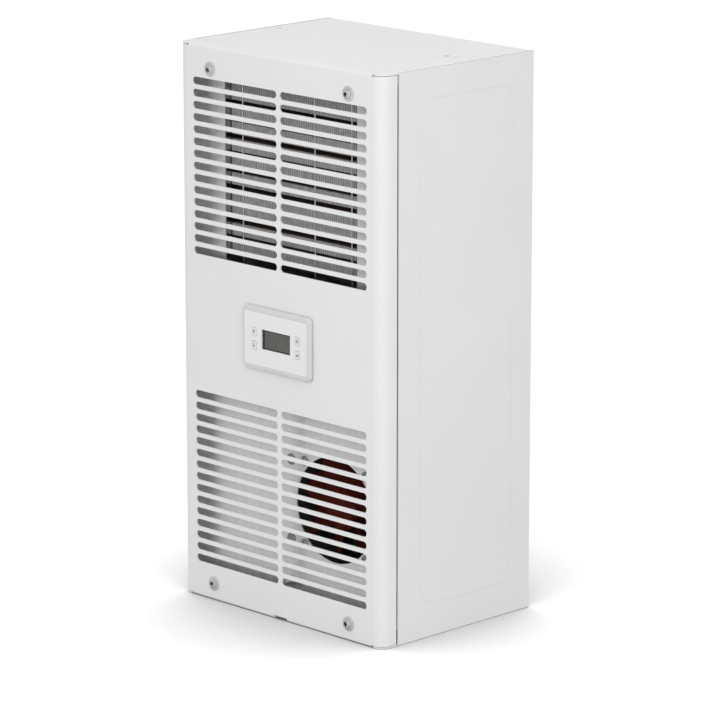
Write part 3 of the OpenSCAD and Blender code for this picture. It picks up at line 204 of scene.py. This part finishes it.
def relief(tree, shader, height, depth, before=None):
    """Fine relief of a given depth in metres."""
    bump = tree.nodes.new("ShaderNodeBump")
    bump.inputs["Strength"].default_value = 1.0
    bump.inputs["Distance"].default_value = depth
    tree.links.new(height, bump.inputs["Height"])
    if before is not None:
        tree.links.new(before, bump.inputs["Normal"])
    tree.links.new(bump.outputs["Normal"], shader.inputs["Normal"])
    return bump.outputs["Normal"]


def powder_coat(name, colour, rough=0.42):
    """Satin powder coat: a fine orange peel, a breath of unevenness in tone and gloss."""
    finish, tree, shader = start_finish(name, colour, rough)
    broad = speckle(tree, scale=9, detail=3)
    colour_by(tree, shader, between(tree, broad), colour, 0.985, 1.012)
    peel = speckle(tree, scale=520)
    rough_by(tree, shader, peel, rough - 0.03, rough + 0.04)
    grain = relief(tree, shader, speckle(tree, scale=1500, detail=1), depth=0.000004)
    relief(tree, shader, peel, depth=0.000012, before=grain)
    shader.inputs["Specular IOR Level"].default_value = 0.45
    return finish


def zinc_sheet(name, colour, rough=0.3, spangle=0.05):
    """Zinc coated sheet: faint crystals and a fine rolled grain."""
    finish, tree, shader = start_finish(name, colour, rough, metal=1.0)
    grey = tree.nodes.new("ShaderNodeRGBToBW")
    tree.links.new(cells(tree, scale=170).outputs["Color"], grey.inputs["Color"])
    colour_by(tree, shader, grey.outputs["Val"], colour, 1 - spangle, 1 + spangle)
    rolled = speckle(tree, scale=300, detail=3, stretch=(0.06, 1, 1))
    rough_by(tree, shader, rolled, rough - 0.04, rough + 0.07)
    relief(tree, shader, rolled, depth=0.000006)
    return finish


def brushed_sheet(name, colour, rough, metal):
    """Satin zinc sheet seen in a soft light: long faint streaks down it, hardly any crystals."""
    finish, tree, shader = start_finish(name, colour, rough, metal)
    streaks = speckle(tree, scale=130, detail=3, stretch=(1, 1, 0.012), rough=0.6)
    colour_by(tree, shader, between(tree, streaks), colour, 0.93, 1.05)
    rough_by(tree, shader, streaks, rough - 0.05, rough + 0.06)
    relief(tree, shader, speckle(tree, scale=420, stretch=(1, 1, 0.02)), depth=0.000002)
    return finish


def turned_steel(name, colour, rough=0.32):
    """Small plated hardware: dull bright metal with a trace of handling."""
    finish, tree, shader = start_finish(name, colour, rough, metal=1.0)
    worn = speckle(tree, scale=700, detail=3)
    colour_by(tree, shader, between(tree, worn), colour, 0.9, 1.04)
    rough_by(tree, shader, worn, rough - 0.06, rough + 0.1)
    relief(tree, shader, speckle(tree, scale=2200), depth=0.000006)
    return finish


def moulded(name, colour, rough=0.5, grain_depth=0.00001, grain_scale=1400, spread=0.03, gloss=0.5):
    """Moulded plastic with a fine eroded grain."""
    finish, tree, shader = start_finish(name, colour, rough)
    shader.inputs["Specular IOR Level"].default_value = gloss
    broad = speckle(tree, scale=40)
    colour_by(tree, shader, between(tree, broad), colour, 1 - spread, 1 + spread / 2)
    grain = speckle(tree, grain_scale)
    rough_by(tree, shader, grain, rough - 0.05, rough + 0.06)
    relief(tree, shader, grain, grain_depth)
    return finish


def closed_cell_foam(name, colour):
    """Foam strip: small closed cells, quite dull."""
    finish, tree, shader = start_finish(name, colour, rough=0.9)
    depths = cells(tree, scale=1100).outputs["Distance"]
    colour_by(tree, shader, between(tree, depths, start=0.1, end=0.7), colour, 0.55, 1.25)
    relief(tree, shader, depths, depth=0.00012)
    shader.inputs["Specular IOR Level"].default_value = 0.25
    return finish


def drawn_tube(name, colour, rough=0.28):
    """Drawn tube with darkened patches from handling and brazing."""
    finish, tree, shader = start_finish(name, colour, rough, metal=1.0)
    patches = speckle(tree, scale=60, detail=4, rough=0.6)
    colour_by(tree, shader, between(tree, patches, start=0.35, end=0.75), colour, 1, 0.55)
    rough_by(tree, shader, patches, rough, rough + 0.25)
    relief(tree, shader, speckle(tree, scale=900), depth=0.000008)
    return finish


def rolled_fin(name, colour, rough=0.55):
    """Thin fin stock: pale at its front edge, darker from there on inwards as painted shade between the
    fins, with some dust.
    """
    finish, tree, shader = start_finish(name, colour, rough, metal=0.15)
    dust = speckle(tree, scale=160, detail=3)
    edge_tone = tint(tree, between(tree, dust), shade_of(colour, 0.82), shade_of(colour, 1.05))
    axes = tree.nodes.new("ShaderNodeSeparateXYZ")
    tree.links.new(tree.nodes["place"].outputs["Object"], axes.inputs["Vector"])
    # Painted shade between the fins, with some dust: darker inwards from the front edge
    inward = between(tree, axes.outputs["Y"], start=COIL_FRONT + FIN_PALE_DEPTH,
                     end=COIL_FRONT + FIN_SHADE_DEPTH)
    shade_and_dust = tint(tree, inward, colour, FIN_SHADE_AND_DUST)
    tree.links.new(edge_tone, shade_and_dust.node.inputs["A"])
    tree.links.new(shade_and_dust, shader.inputs["Base Color"])
    rough_by(tree, shader, dust, rough - 0.06, rough + 0.12)
    relief(tree, shader, speckle(tree, scale=1300), depth=0.000008)
    return finish


def gloss_enamel(name, colour, rough=0.2):
    """Thick enamel over a pressed shell: gloss with soft waves."""
    finish, tree, shader = start_finish(name, colour, rough)
    waves = speckle(tree, scale=110)
    rough_by(tree, shader, waves, rough - 0.05, rough + 0.08)
    colour_by(tree, shader, between(tree, waves), colour, 0.85, 1.3)
    relief(tree, shader, waves, depth=0.00006)
    shader.inputs["Coat Weight"].default_value = 0.4
    shader.inputs["Coat Roughness"].default_value = 0.12
    return finish


def circuit_board(name, colour):
    """Solder mask with paler tracks under it."""
    finish, tree, shader = start_finish(name, colour, rough=0.35)
    tracks = tree.nodes.new("ShaderNodeTexBrick")
    tracks.inputs["Scale"].default_value = 140
    tracks.inputs["Mortar Size"].default_value = 0.08
    tree.links.new(stretched(tree, (1, 0, 1)), tracks.inputs["Vector"])
    colour_by(tree, shader, tracks.outputs["Fac"], colour, 1, 1.9)
    relief(tree, shader, tracks.outputs["Fac"], depth=0.00003)
    return finish


def display_face(name, colour):
    """Unlit liquid crystal behind a clear window: slightly uneven grey-green, with a sheen."""
    finish, tree, shader = start_finish(name, colour, rough=0.22)
    cloud = speckle(tree, scale=55)
    colour_by(tree, shader, between(tree, cloud), colour, 0.94, 1.08)
    relief(tree, shader, speckle(tree, scale=1200, detail=1), depth=0.000002)
    shader.inputs["Specular IOR Level"].default_value = 0.12
    return finish


def printed_ink(name, colour):
    """Screen printed ink on a key."""
    finish, tree, shader = start_finish(name, colour, rough=0.6)
    colour_by(tree, shader, speckle(tree, scale=2500), colour, 0.9, 1.15)
    relief(tree, shader, speckle(tree, scale=3000, detail=1), depth=0.000003)
    return finish


cover_paint = powder_coat("cover_paint", (0.82, 0.82, 0.82))
housing_paint = powder_coat("housing_paint", (0.80, 0.80, 0.80))
# Painted shade of the joint: the side panels' top edges darkened to a fine shadow line at the roof
joint_shade = powder_coat("joint_shade", (0.38, 0.38, 0.38), rough=0.6)
bare_zinc = zinc_sheet("bare_zinc", (0.66, 0.665, 0.67))
baffle_zinc = brushed_sheet("baffle_zinc", (0.66, 0.66, 0.655), rough=0.42, metal=0.75)
plate_metal = zinc_sheet("plate_metal", (0.72, 0.725, 0.73), rough=0.08, spangle=0.01)
plated_hardware = turned_steel("plated_hardware", (0.62, 0.625, 0.63))
screw_plating = turned_steel("screw_plating", (0.5, 0.5, 0.5), rough=0.6)
dark_zinc = turned_steel("dark_zinc", (0.3, 0.3, 0.3), rough=0.5)
washer_plating = turned_steel("washer_plating", (0.57, 0.57, 0.57), rough=0.6)
# Painted shade for the insides of the screw sockets
socket_shade = turned_steel("socket_shade", (0.05, 0.05, 0.05), rough=0.6)
passivated_gold = turned_steel("passivated_gold", (0.62, 0.52, 0.24))
bezel_plastic = moulded("bezel_plastic", (0.67, 0.67, 0.67), rough=0.45, grain_depth=0.000006)
foil_print = moulded("foil_print", (0.84, 0.84, 0.845), rough=0.38, grain_depth=0.000003,
                     grain_scale=900, spread=0.01)
# Painted shade for the foot of the control panel's moulding, in the gap behind it
foot_shadow = moulded("foot_shadow", (0.03, 0.03, 0.03), rough=0.9, grain_depth=0.000006, gloss=0.1)
key_plastic = moulded("key_plastic", (0.77, 0.77, 0.78), rough=0.42, grain_depth=0.000004)
window_grey = display_face("window_grey", (0.112, 0.117, 0.104))
# Near black for the display's rim, partly painted shade of the recess
window_black = display_face("window_black", (0.02, 0.021, 0.02))
key_ink = printed_ink("key_ink", (0.06, 0.06, 0.08))
mat_silicone = moulded("mat_silicone", (0.26, 0.27, 0.28), rough=0.6)
board_green = circuit_board("board_green", (0.018, 0.1, 0.045))
coil_aluminium = turned_steel("coil_aluminium", (0.58, 0.585, 0.59), rough=0.4)
fin_sheet = rolled_fin("fin_sheet", (0.84, 0.84, 0.84))
coil_copper = drawn_tube("coil_copper", (0.52, 0.22, 0.13), rough=0.4)
guard_plating = turned_steel("guard_plating", (0.62, 0.62, 0.63), rough=0.3)
duct_black = moulded("duct_black", (0.022, 0.022, 0.023), gloss=0.25)
motor_black = gloss_enamel("motor_black", (0.016, 0.016, 0.017), rough=0.35)
impeller_red_brown = moulded("impeller_red_brown", (0.075, 0.012, 0.008), rough=0.6, gloss=0.03)
impeller_grey = moulded("impeller_grey", (0.045, 0.046, 0.05), rough=0.45)
seal_foam = closed_cell_foam("seal_foam", (0.03, 0.03, 0.031))
hose_vinyl = moulded("hose_vinyl", (0.6, 0.62, 0.64), rough=0.3, grain_depth=0.00003, grain_scale=200)
spout_plastic = moulded("spout_plastic", (0.02, 0.02, 0.021), rough=0.45)
compressor_enamel = gloss_enamel("compressor_enamel", (0.012, 0.012, 0.013), rough=0.22)
grommet_rubber = moulded("grommet_rubber", (0.03, 0.03, 0.03), rough=0.75, grain_depth=0.00002)
capacitor_can = turned_steel("capacitor_can", (0.72, 0.73, 0.74), rough=0.3)
connector_green = moulded("connector_green", (0.03, 0.17, 0.065), rough=0.42)

finish_of = {node: finish for finish, members in (
    (cover_paint, "front_cover top_panel lifting_inserts"),
    (housing_paint, "left_side_panel right_side_panel"),
    (bare_zinc, "base_panel rear_panel air_partition evaporator_end_plates drip_tray capacitor_clamp"),
    (baffle_zinc, "baffle_plate"),
    (plate_metal, "condenser_end_plates"),
    (plated_hardware, "cover_standoffs rear_panel_screws evaporator_fan_screws compressor_bolts"),
    (plated_hardware, "earth_terminal"),
    (screw_plating, "cover_screws"),
    (washer_plating, "cover_washers"),
    (dark_zinc, "condenser_fan_screws"),
    (passivated_gold, "mounting_nuts"),
    (seal_foam, "rear_seal"),
    (mat_silicone, "baffle_plugs keypad_mat"),
    (bezel_plastic, "controller_bezel controller_case"),
    (window_grey, "display_window"),
    (key_plastic, "key_up key_down key_menu key_enter"),
    (board_green, "controller_board"),
    (coil_aluminium, "condenser_fins evaporator_fins"),
    (coil_copper, "condenser_tubes evaporator_tubes filter_drier capillary_tube"),
    (coil_copper, "discharge_line suction_line liquid_line"),
    (guard_plating, "condenser_guard_wires evaporator_fan_guard"),
    (duct_black, "condenser_fan_ring evaporator_fan_ring"),
    (motor_black, "condenser_fan_motor evaporator_fan_motor"),
    (impeller_red_brown, "condenser_fan_impeller"),
    (impeller_grey, "evaporator_fan_impeller"),
    (hose_vinyl, "drain_hose"),
    (spout_plastic, "drain_spout compressor_terminal_cover"),
    (compressor_enamel, "compressor_shell compressor_foot_plate"),
    (grommet_rubber, "compressor_grommets"),
    (capacitor_can, "run_capacitor"),
    (connector_green, "power_connector"),
) for node in members.split()}
slot_of = {s["node"]: s["material_slot"] for s in frame["record"]["subparts"]}
slot_of["lifting_inserts"] = slot_of["front_cover"]
body_of_node = {n: b for b, members in frame["record"]["behaviour"]["bodies"].items() for n in members}


# Modelling helpers

def deselect_everything():
    if bpy.context.object and bpy.context.object.mode != "OBJECT":
        bpy.ops.object.mode_set(mode="OBJECT")
    bpy.ops.object.select_all(action="DESELECT")


def pick(piece):
    deselect_everything()
    piece.select_set(True)
    bpy.context.view_layer.objects.active = piece


def block(low, high):
    """A block between two corners, its place in its mesh, picked and open for editing."""
    deselect_everything()
    bpy.ops.mesh.primitive_cube_add(size=1, location=[(a + b) / 2 for a, b in zip(low, high)],
                                    scale=[b - a for a, b in zip(low, high)])
    piece = bpy.context.object
    pick(piece)
    bpy.ops.object.transform_apply(location=True, rotation=True, scale=True)
    bpy.ops.object.mode_set(mode="EDIT")
    return piece


def cut_across(place, direction, clear_outer=False):
    """In edit mode, cuts the whole mesh by a plane."""
    bpy.ops.mesh.select_all(action="SELECT")
    bpy.ops.mesh.bisect(plane_co=place, plane_no=direction, clear_outer=clear_outer)


def select_faces(piece, wanted):
    """In edit mode, selects the faces that the test wants."""
    bpy.ops.mesh.select_mode(type="FACE")
    bpy.ops.mesh.select_all(action="DESELECT")
    mesh = bmesh.from_edit_mesh(piece.data)
    for face in mesh.faces:
        face.select_set(bool(wanted(face)))
    bmesh.update_edit_mesh(piece.data)


def face_outwards():
    """In edit mode, turns every face outwards."""
    bpy.ops.mesh.select_all(action="SELECT")
    bpy.ops.mesh.normals_make_consistent(inside=False)


def plain_copy(original):
    """A copy with a mesh of its own, free of its body."""
    piece = original.copy()
    piece.data = original.data.copy()
    piece.parent = None
    for key in list(piece.keys()):
        if key.startswith("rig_"):
            del piece[key]
    bpy.context.scene.collection.objects.link(piece)
    return piece


def settle(piece, name, finish, body="housing"):
    """Leaves the place in the mesh, names the piece and lets it ride on its body."""
    pick(piece)
    bpy.ops.object.transform_apply(location=True, rotation=True, scale=True)
    piece.name = name
    piece.data.name = name
    piece.data.materials.clear()
    piece.data.materials.append(finish)
    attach(piece, body)
    return piece


def softened(node):
    """A welded copy of a node, whose curved walls shade smoothly, in its place."""
    piece = plain_copy(nodes[node])
    pick(piece)
    bpy.ops.object.mode_set(mode="EDIT")
    bpy.ops.mesh.select_all(action="SELECT")
    bpy.ops.mesh.remove_doubles(threshold=WELD_GAP)
    bpy.ops.mesh.dissolve_limited(angle_limit=FLAT_ANGLE)
    bpy.ops.object.mode_set(mode="OBJECT")
    bpy.ops.object.shade_smooth_by_angle(angle=SMOOTH_ANGLE)
    weights = piece.modifiers.new("weights", "WEIGHTED_NORMAL")
    weights.keep_sharp = True
    weights.weight = 100
    bpy.ops.object.modifier_apply(modifier=weights.name)
    settle(piece, node + "_shown", finish_of[node], body_of_node[node])
    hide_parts(node)
    return piece


def paint_faces(piece, finish, wanted):
    """Gives the faces that the test wants a second finish."""
    piece.data.materials.append(finish)
    pick(piece)
    bpy.ops.object.mode_set(mode="EDIT")
    select_faces(piece, wanted)
    piece.active_material_index = len(piece.data.materials) - 1
    bpy.ops.object.material_slot_assign()
    bpy.ops.object.mode_set(mode="OBJECT")


# Pieces

def condenser_fin_pack():
    """Thin fins at their real spacing: a deep spine, cut into bands whose fronts are drawn out."""
    top = COIL_TOP
    low = top - BAND_HEIGHT - (BANDS - 1) * BAND_PITCH
    spine_front = COIL_FRONT + BAND_DEPTH
    first_x = -(FINS - 1) / 2 * FIN_SPACING
    fin = block((first_x - FIN_THICKNESS / 2, spine_front, low),
                (first_x + FIN_THICKNESS / 2, spine_front + SPINE_DEPTH, top + FIRST_BAND_RISE))
    for band in range(BANDS - 1):
        lower_edge = top - band * BAND_PITCH - BAND_HEIGHT
        next_upper_edge = top - (band + 1) * BAND_PITCH
        for level in (lower_edge, next_upper_edge):
            cut_across((0, 0, level), (0, 0, 1))

    def band_front(face):
        below_top = top - face.calc_center_median().z
        return face.normal.y < -FACING and below_top % BAND_PITCH < BAND_HEIGHT

    select_faces(fin, band_front)
    bpy.ops.mesh.extrude_region_move(TRANSFORM_OT_translate={"value": (0, -BAND_DEPTH, 0)})
    bpy.ops.object.mode_set(mode="OBJECT")
    row = fin.modifiers.new("row", "ARRAY")
    row.count = FINS
    row.use_relative_offset = False
    row.use_constant_offset = True
    row.constant_offset_displace = (FIN_SPACING, 0, 0)
    bpy.ops.object.modifier_apply(modifier=row.name)
    settle(fin, "condenser_fin_pack", fin_sheet)
    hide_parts("condenser_fins")


def shade_panel_joints():
    """The top edges of the side panels at the roof, painted darker as the shade of the joint, which shows
    as a fine dark line.
    """
    for node in ("left_side_panel", "right_side_panel"):
        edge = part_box(node)[1].z - JOINT_SHADE_DEPTH
        paint_faces(softened(node), joint_shade,
                    lambda face: face.normal.z > FACING and face.calc_center_median().z > edge)


def socket_screws():
    """Button heads, with painted shade inside their sockets."""
    low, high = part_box("cover_screws")

    def in_socket(face):
        middle = face.calc_center_median()
        away_x = min(abs(middle.x - low.x - SCREW_HEAD_R), abs(middle.x - high.x + SCREW_HEAD_R))
        away_z = min(abs(middle.z - low.z - SCREW_HEAD_R), abs(middle.z - high.z + SCREW_HEAD_R))
        return math.hypot(away_x, away_z) < SOCKET_R and SOCKET_START < middle.y - low.y < SOCKET_END

    paint_faces(softened("cover_screws"), socket_shade, in_socket)


def panel_moulding():
    """The moulding of the control panel, its foot painted near black as the shade in the gap behind it.
    """
    bezel = softened("controller_bezel")
    paint_faces(bezel, foot_shadow, lambda face: face.calc_center_median().y > COVER_FRONT - PANEL_REVEAL)
    return bezel


def panel_foil(bezel):
    """The thin printed foil on the moulding's face, cut to the same windows."""
    low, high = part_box("controller_bezel")
    middle = (low + high) / 2
    bed = low.y + FOIL_BED_DEPTH
    foil = plain_copy(bezel)
    pick(foil)
    bpy.ops.object.mode_set(mode="EDIT")
    select_faces(foil, lambda face: face.normal.y > -FACING_FLAT or face.calc_center_median().y > bed)
    bpy.ops.mesh.delete(type="FACE")
    for side in (-1, 1):
        cut_across((middle.x + side * FOIL_HALF_W, 0, 0), (side, 0, 0), clear_outer=True)
        cut_across((0, 0, middle.z + side * FOIL_HALF_H), (0, 0, side), clear_outer=True)
    bpy.ops.mesh.select_all(action="SELECT")
    bpy.ops.mesh.extrude_region_move(TRANSFORM_OT_translate={"value": (0, -FOIL_T, 0)})
    face_outwards()
    bpy.ops.object.mode_set(mode="OBJECT")
    bpy.ops.object.shade_flat()
    settle(foil, "panel_foil", foil_print)


def flat_frame(name, low, high, front, sides, finish, node):
    """A thin frame on a face; sides are its widths at the left, the right, the bottom and the top."""
    plate = block((low[0], front - PRINT_T, low[1]), (high[0], front, high[1]))
    left, right = low[0] + sides[0], high[0] - sides[1]
    bottom, top = low[1] + sides[2], high[1] - sides[3]
    for x in (left, right):
        cut_across((x, 0, 0), (1, 0, 0))
    for z in (bottom, top):
        cut_across((0, 0, z), (0, 0, 1))

    def opened(face):
        middle = face.calc_center_median()
        return abs(face.normal.y) > FACING and left < middle.x < right and bottom < middle.z < top

    select_faces(plate, opened)
    bpy.ops.mesh.delete(type="FACE")
    bpy.ops.mesh.select_mode(type="EDGE")
    bpy.ops.mesh.select_all(action="DESELECT")
    bpy.ops.mesh.select_non_manifold()
    bpy.ops.mesh.bridge_edge_loops()
    face_outwards()
    bpy.ops.object.mode_set(mode="OBJECT")
    settle(plate, name, finish, body_of_node[node])


def display_rim_and_shade():
    """The dark rim of the display's glass, widest at its left: partly the black frame of the liquid
    crystal, partly painted shade of the recess's walls.
    """
    low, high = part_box("display_window")
    flat_frame("display_rim_and_shade", (low.x, low.z), (high.x, high.z), low.y, GLASS_RIM_AND_SHADE, window_black,
               "display_window")


def key_middle(node):
    low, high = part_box(node)
    return (low.x + high.x) / 2, (low.z + high.z) / 2


def key_arrow(name, node, turn, tail=0.0021, head=0.0021, width=0.00055, shift=(0, 0)):
    """A thin arrow: a flat bar whose end is drawn out to a point, turned about the key's middle."""
    x, z = key_middle(node)
    arrow = block((x - width / 2, KEY_FACE - PRINT_T, z - tail + PRINT_T),
                  (x + width / 2, KEY_FACE, z + PRINT_T))
    select_faces(arrow, lambda face: face.normal.z > FACING)
    bpy.ops.mesh.extrude_region_move(TRANSFORM_OT_translate={"value": (0, 0, ARROW_NECK)})
    bpy.ops.transform.resize(value=(head / width, 1, 1))
    bpy.ops.mesh.extrude_region_move(TRANSFORM_OT_translate={"value": (0, 0, head)})
    bpy.ops.transform.resize(value=(ARROW_POINT_SHARE, 1, 1))
    bpy.ops.mesh.select_all(action="SELECT")
    bpy.ops.transform.rotate(value=turn, orient_axis="Y", center_override=(x, KEY_FACE, z))
    bpy.ops.transform.translate(value=(shift[0], 0, shift[1]))
    bpy.ops.object.mode_set(mode="OBJECT")
    settle(arrow, name, key_ink, node)


def key_frame(name, node, half, line):
    """A thin square printed on a key."""
    x, z = key_middle(node)
    flat_frame(name, (x - half, z - half), (x + half, z + half), KEY_FACE, (line,) * 4, key_ink, node)


# The dressed part

for node, piece in nodes.items():
    piece.data.materials.clear()
    piece.data.materials.append(finish_of[node])

for node in (
    "front_cover", "top_panel", "rear_panel", "baffle_plate", "cover_washers", "lifting_inserts",
    "condenser_fan_ring", "condenser_fan_impeller", "condenser_fan_motor", "evaporator_fan_ring",
    "evaporator_fan_impeller", "evaporator_fan_motor", "evaporator_fan_guard", "condenser_tubes",
    "condenser_guard_wires", "compressor_shell", "discharge_line", "suction_line", "liquid_line",
    "drain_spout", "drain_hose", "mounting_nuts", "rear_panel_screws", "evaporator_fan_screws",
    "condenser_fan_screws", "filter_drier", "run_capacitor", "key_up", "key_down", "key_menu",
    "key_enter", "earth_terminal", "cover_standoffs", "base_panel",
):
    softened(node)

condenser_fin_pack()
shade_panel_joints()
socket_screws()
panel_foil(panel_moulding())
display_rim_and_shade()
key_arrow("print_up", "key_up", turn=0)
key_arrow("print_down", "key_down", turn=math.pi)
key_frame("print_menu", "key_menu", half=0.0013, line=0.0006)
key_arrow("print_enter", "key_enter", turn=math.pi / 2, tail=0.0018, head=0.0019, width=0.0007,
          shift=(0.0002, -0.0006))
key_arrow("print_enter_rise", "key_enter", turn=0, tail=0.0019, head=0.0001, width=0.0007,
          shift=(0.0018, 0.0008))


# Studio

def seen_as_background(tree):
    """1 for the camera and for what gloss and glass show of it, 0 for the light on the unit."""
    path = tree.nodes.new("ShaderNodeLightPath")
    seen = path.outputs["Is Camera Ray"]
    for ray in ("Is Glossy Ray", "Is Transmission Ray"):
        either = tree.nodes.new("ShaderNodeMath")
        either.operation = "MAXIMUM"
        tree.links.new(seen, either.inputs[0])
        tree.links.new(path.outputs[ray], either.inputs[1])
        seen = either.outputs["Value"]
    return seen


def choose(tree, factor, first, second, surface):
    """The first shader where the factor is 0, and the second where it is 1."""
    choice = tree.nodes.new("ShaderNodeMixShader")
    tree.links.new(factor, choice.inputs["Fac"])
    tree.links.new(first, choice.inputs[1])
    tree.links.new(second, choice.inputs[2])
    tree.links.new(choice.outputs["Shader"], surface)


def studio_floor():
    """A plain pale floor, white where it lies open, with the unit's soft shadow near it, partly cast and
    partly painted by how open it lies.
    """
    deselect_everything()
    bpy.ops.mesh.primitive_plane_add(size=FLOOR_SIZE, location=(0, 0, -FLOOR_GAP))
    floor = bpy.context.object
    floor.name = "studio_floor"
    finish = bpy.data.materials.new("studio_floor")
    finish.use_nodes = True
    tree = finish.node_tree
    tree.nodes.clear()
    out = tree.nodes.new("ShaderNodeOutputMaterial")
    matt = tree.nodes.new("ShaderNodeBsdfDiffuse")
    matt.inputs["Color"].default_value = (FLOOR_MATT, FLOOR_MATT, FLOOR_MATT, 1)
    openness = tree.nodes.new("ShaderNodeAmbientOcclusion")
    openness.inputs["Distance"].default_value = FLOOR_REACH
    openness.samples = FLOOR_SAMPLES
    grey = tree.nodes.new("ShaderNodeCombineColor")
    # Painted shadow: the floor's colour and glow drop where the ambient occlusion finds it closed in by
    # the unit
    shade = between(tree, openness.outputs["AO"], *FLOOR_SHADE, *FLOOR_OPENNESS)
    for channel in ("Red", "Green", "Blue"):
        tree.links.new(shade, grey.inputs[channel])
    pale = tree.nodes.new("ShaderNodeBsdfDiffuse")
    tree.links.new(grey.outputs["Color"], pale.inputs["Color"])
    glow = tree.nodes.new("ShaderNodeEmission")
    tree.links.new(between(tree, openness.outputs["AO"], *FLOOR_GLOW, *FLOOR_OPENNESS),
                   glow.inputs["Strength"])
    lifted = tree.nodes.new("ShaderNodeAddShader")
    tree.links.new(pale.outputs["BSDF"], lifted.inputs[0])
    tree.links.new(glow.outputs["Emission"], lifted.inputs[1])
    choose(tree, seen_as_background(tree), matt.outputs["BSDF"], lifted.outputs["Shader"],
           out.inputs["Surface"])
    floor.data.materials.append(finish)


def studio_sky():
    """White behind the unit, and a plain even light on it."""
    world = bpy.data.worlds.new("studio_sky")
    bpy.context.scene.world = world
    world.use_nodes = True
    tree = world.node_tree
    tree.nodes.clear()
    out = tree.nodes.new("ShaderNodeOutputWorld")
    ambient, white = (tree.nodes.new("ShaderNodeBackground") for _ in range(2))
    for sky, strength in ((ambient, AMBIENT), (white, 1.0)):
        sky.inputs["Color"].default_value = (1, 1, 1, 1)
        sky.inputs["Strength"].default_value = strength
    choose(tree, seen_as_background(tree), ambient.outputs["Background"], white.outputs["Background"],
           out.inputs["Surface"])


def softbox(name, place, aim, size, power):
    """A square lamp that looks at a point."""
    lamp = bpy.data.lights.new(name, "AREA")
    lamp.shape = "SQUARE"
    lamp.size = size
    lamp.energy = power
    box = bpy.data.objects.new(name, lamp)
    bpy.context.scene.collection.objects.link(box)
    box.location = place
    box.rotation_euler = (Vector(aim) - Vector(place)).to_track_quat("-Z", "Y").to_euler()


def studio_camera():
    """The camera at the photograph's viewing angle."""
    view = bpy.data.cameras.new("studio_camera")
    view.sensor_width = SENSOR
    view.lens = FOCAL_PIXELS * SENSOR / FRAME_HEIGHT
    view.clip_end = FAR_CLIP
    camera = bpy.data.objects.new("studio_camera", view)
    bpy.context.scene.collection.objects.link(camera)
    camera.location = (CAMERA_X, COVER_FRONT - CAMERA_AHEAD, CAMERA_Z)
    look = Vector((math.sin(CAMERA_YAW) * math.cos(CAMERA_PITCH),
                   math.cos(CAMERA_YAW) * math.cos(CAMERA_PITCH), -math.sin(CAMERA_PITCH)))
    camera.rotation_euler = look.to_track_quat("-Z", "Y").to_euler()
    bpy.context.scene.camera = camera


studio_floor()
studio_sky()
softbox("front_box", place=(0.92, -0.92, 0.95), aim=(0, 0, 0.34), size=1.4, power=7.0)
studio_camera()
bpy.context.scene.view_settings.view_transform = "Standard"
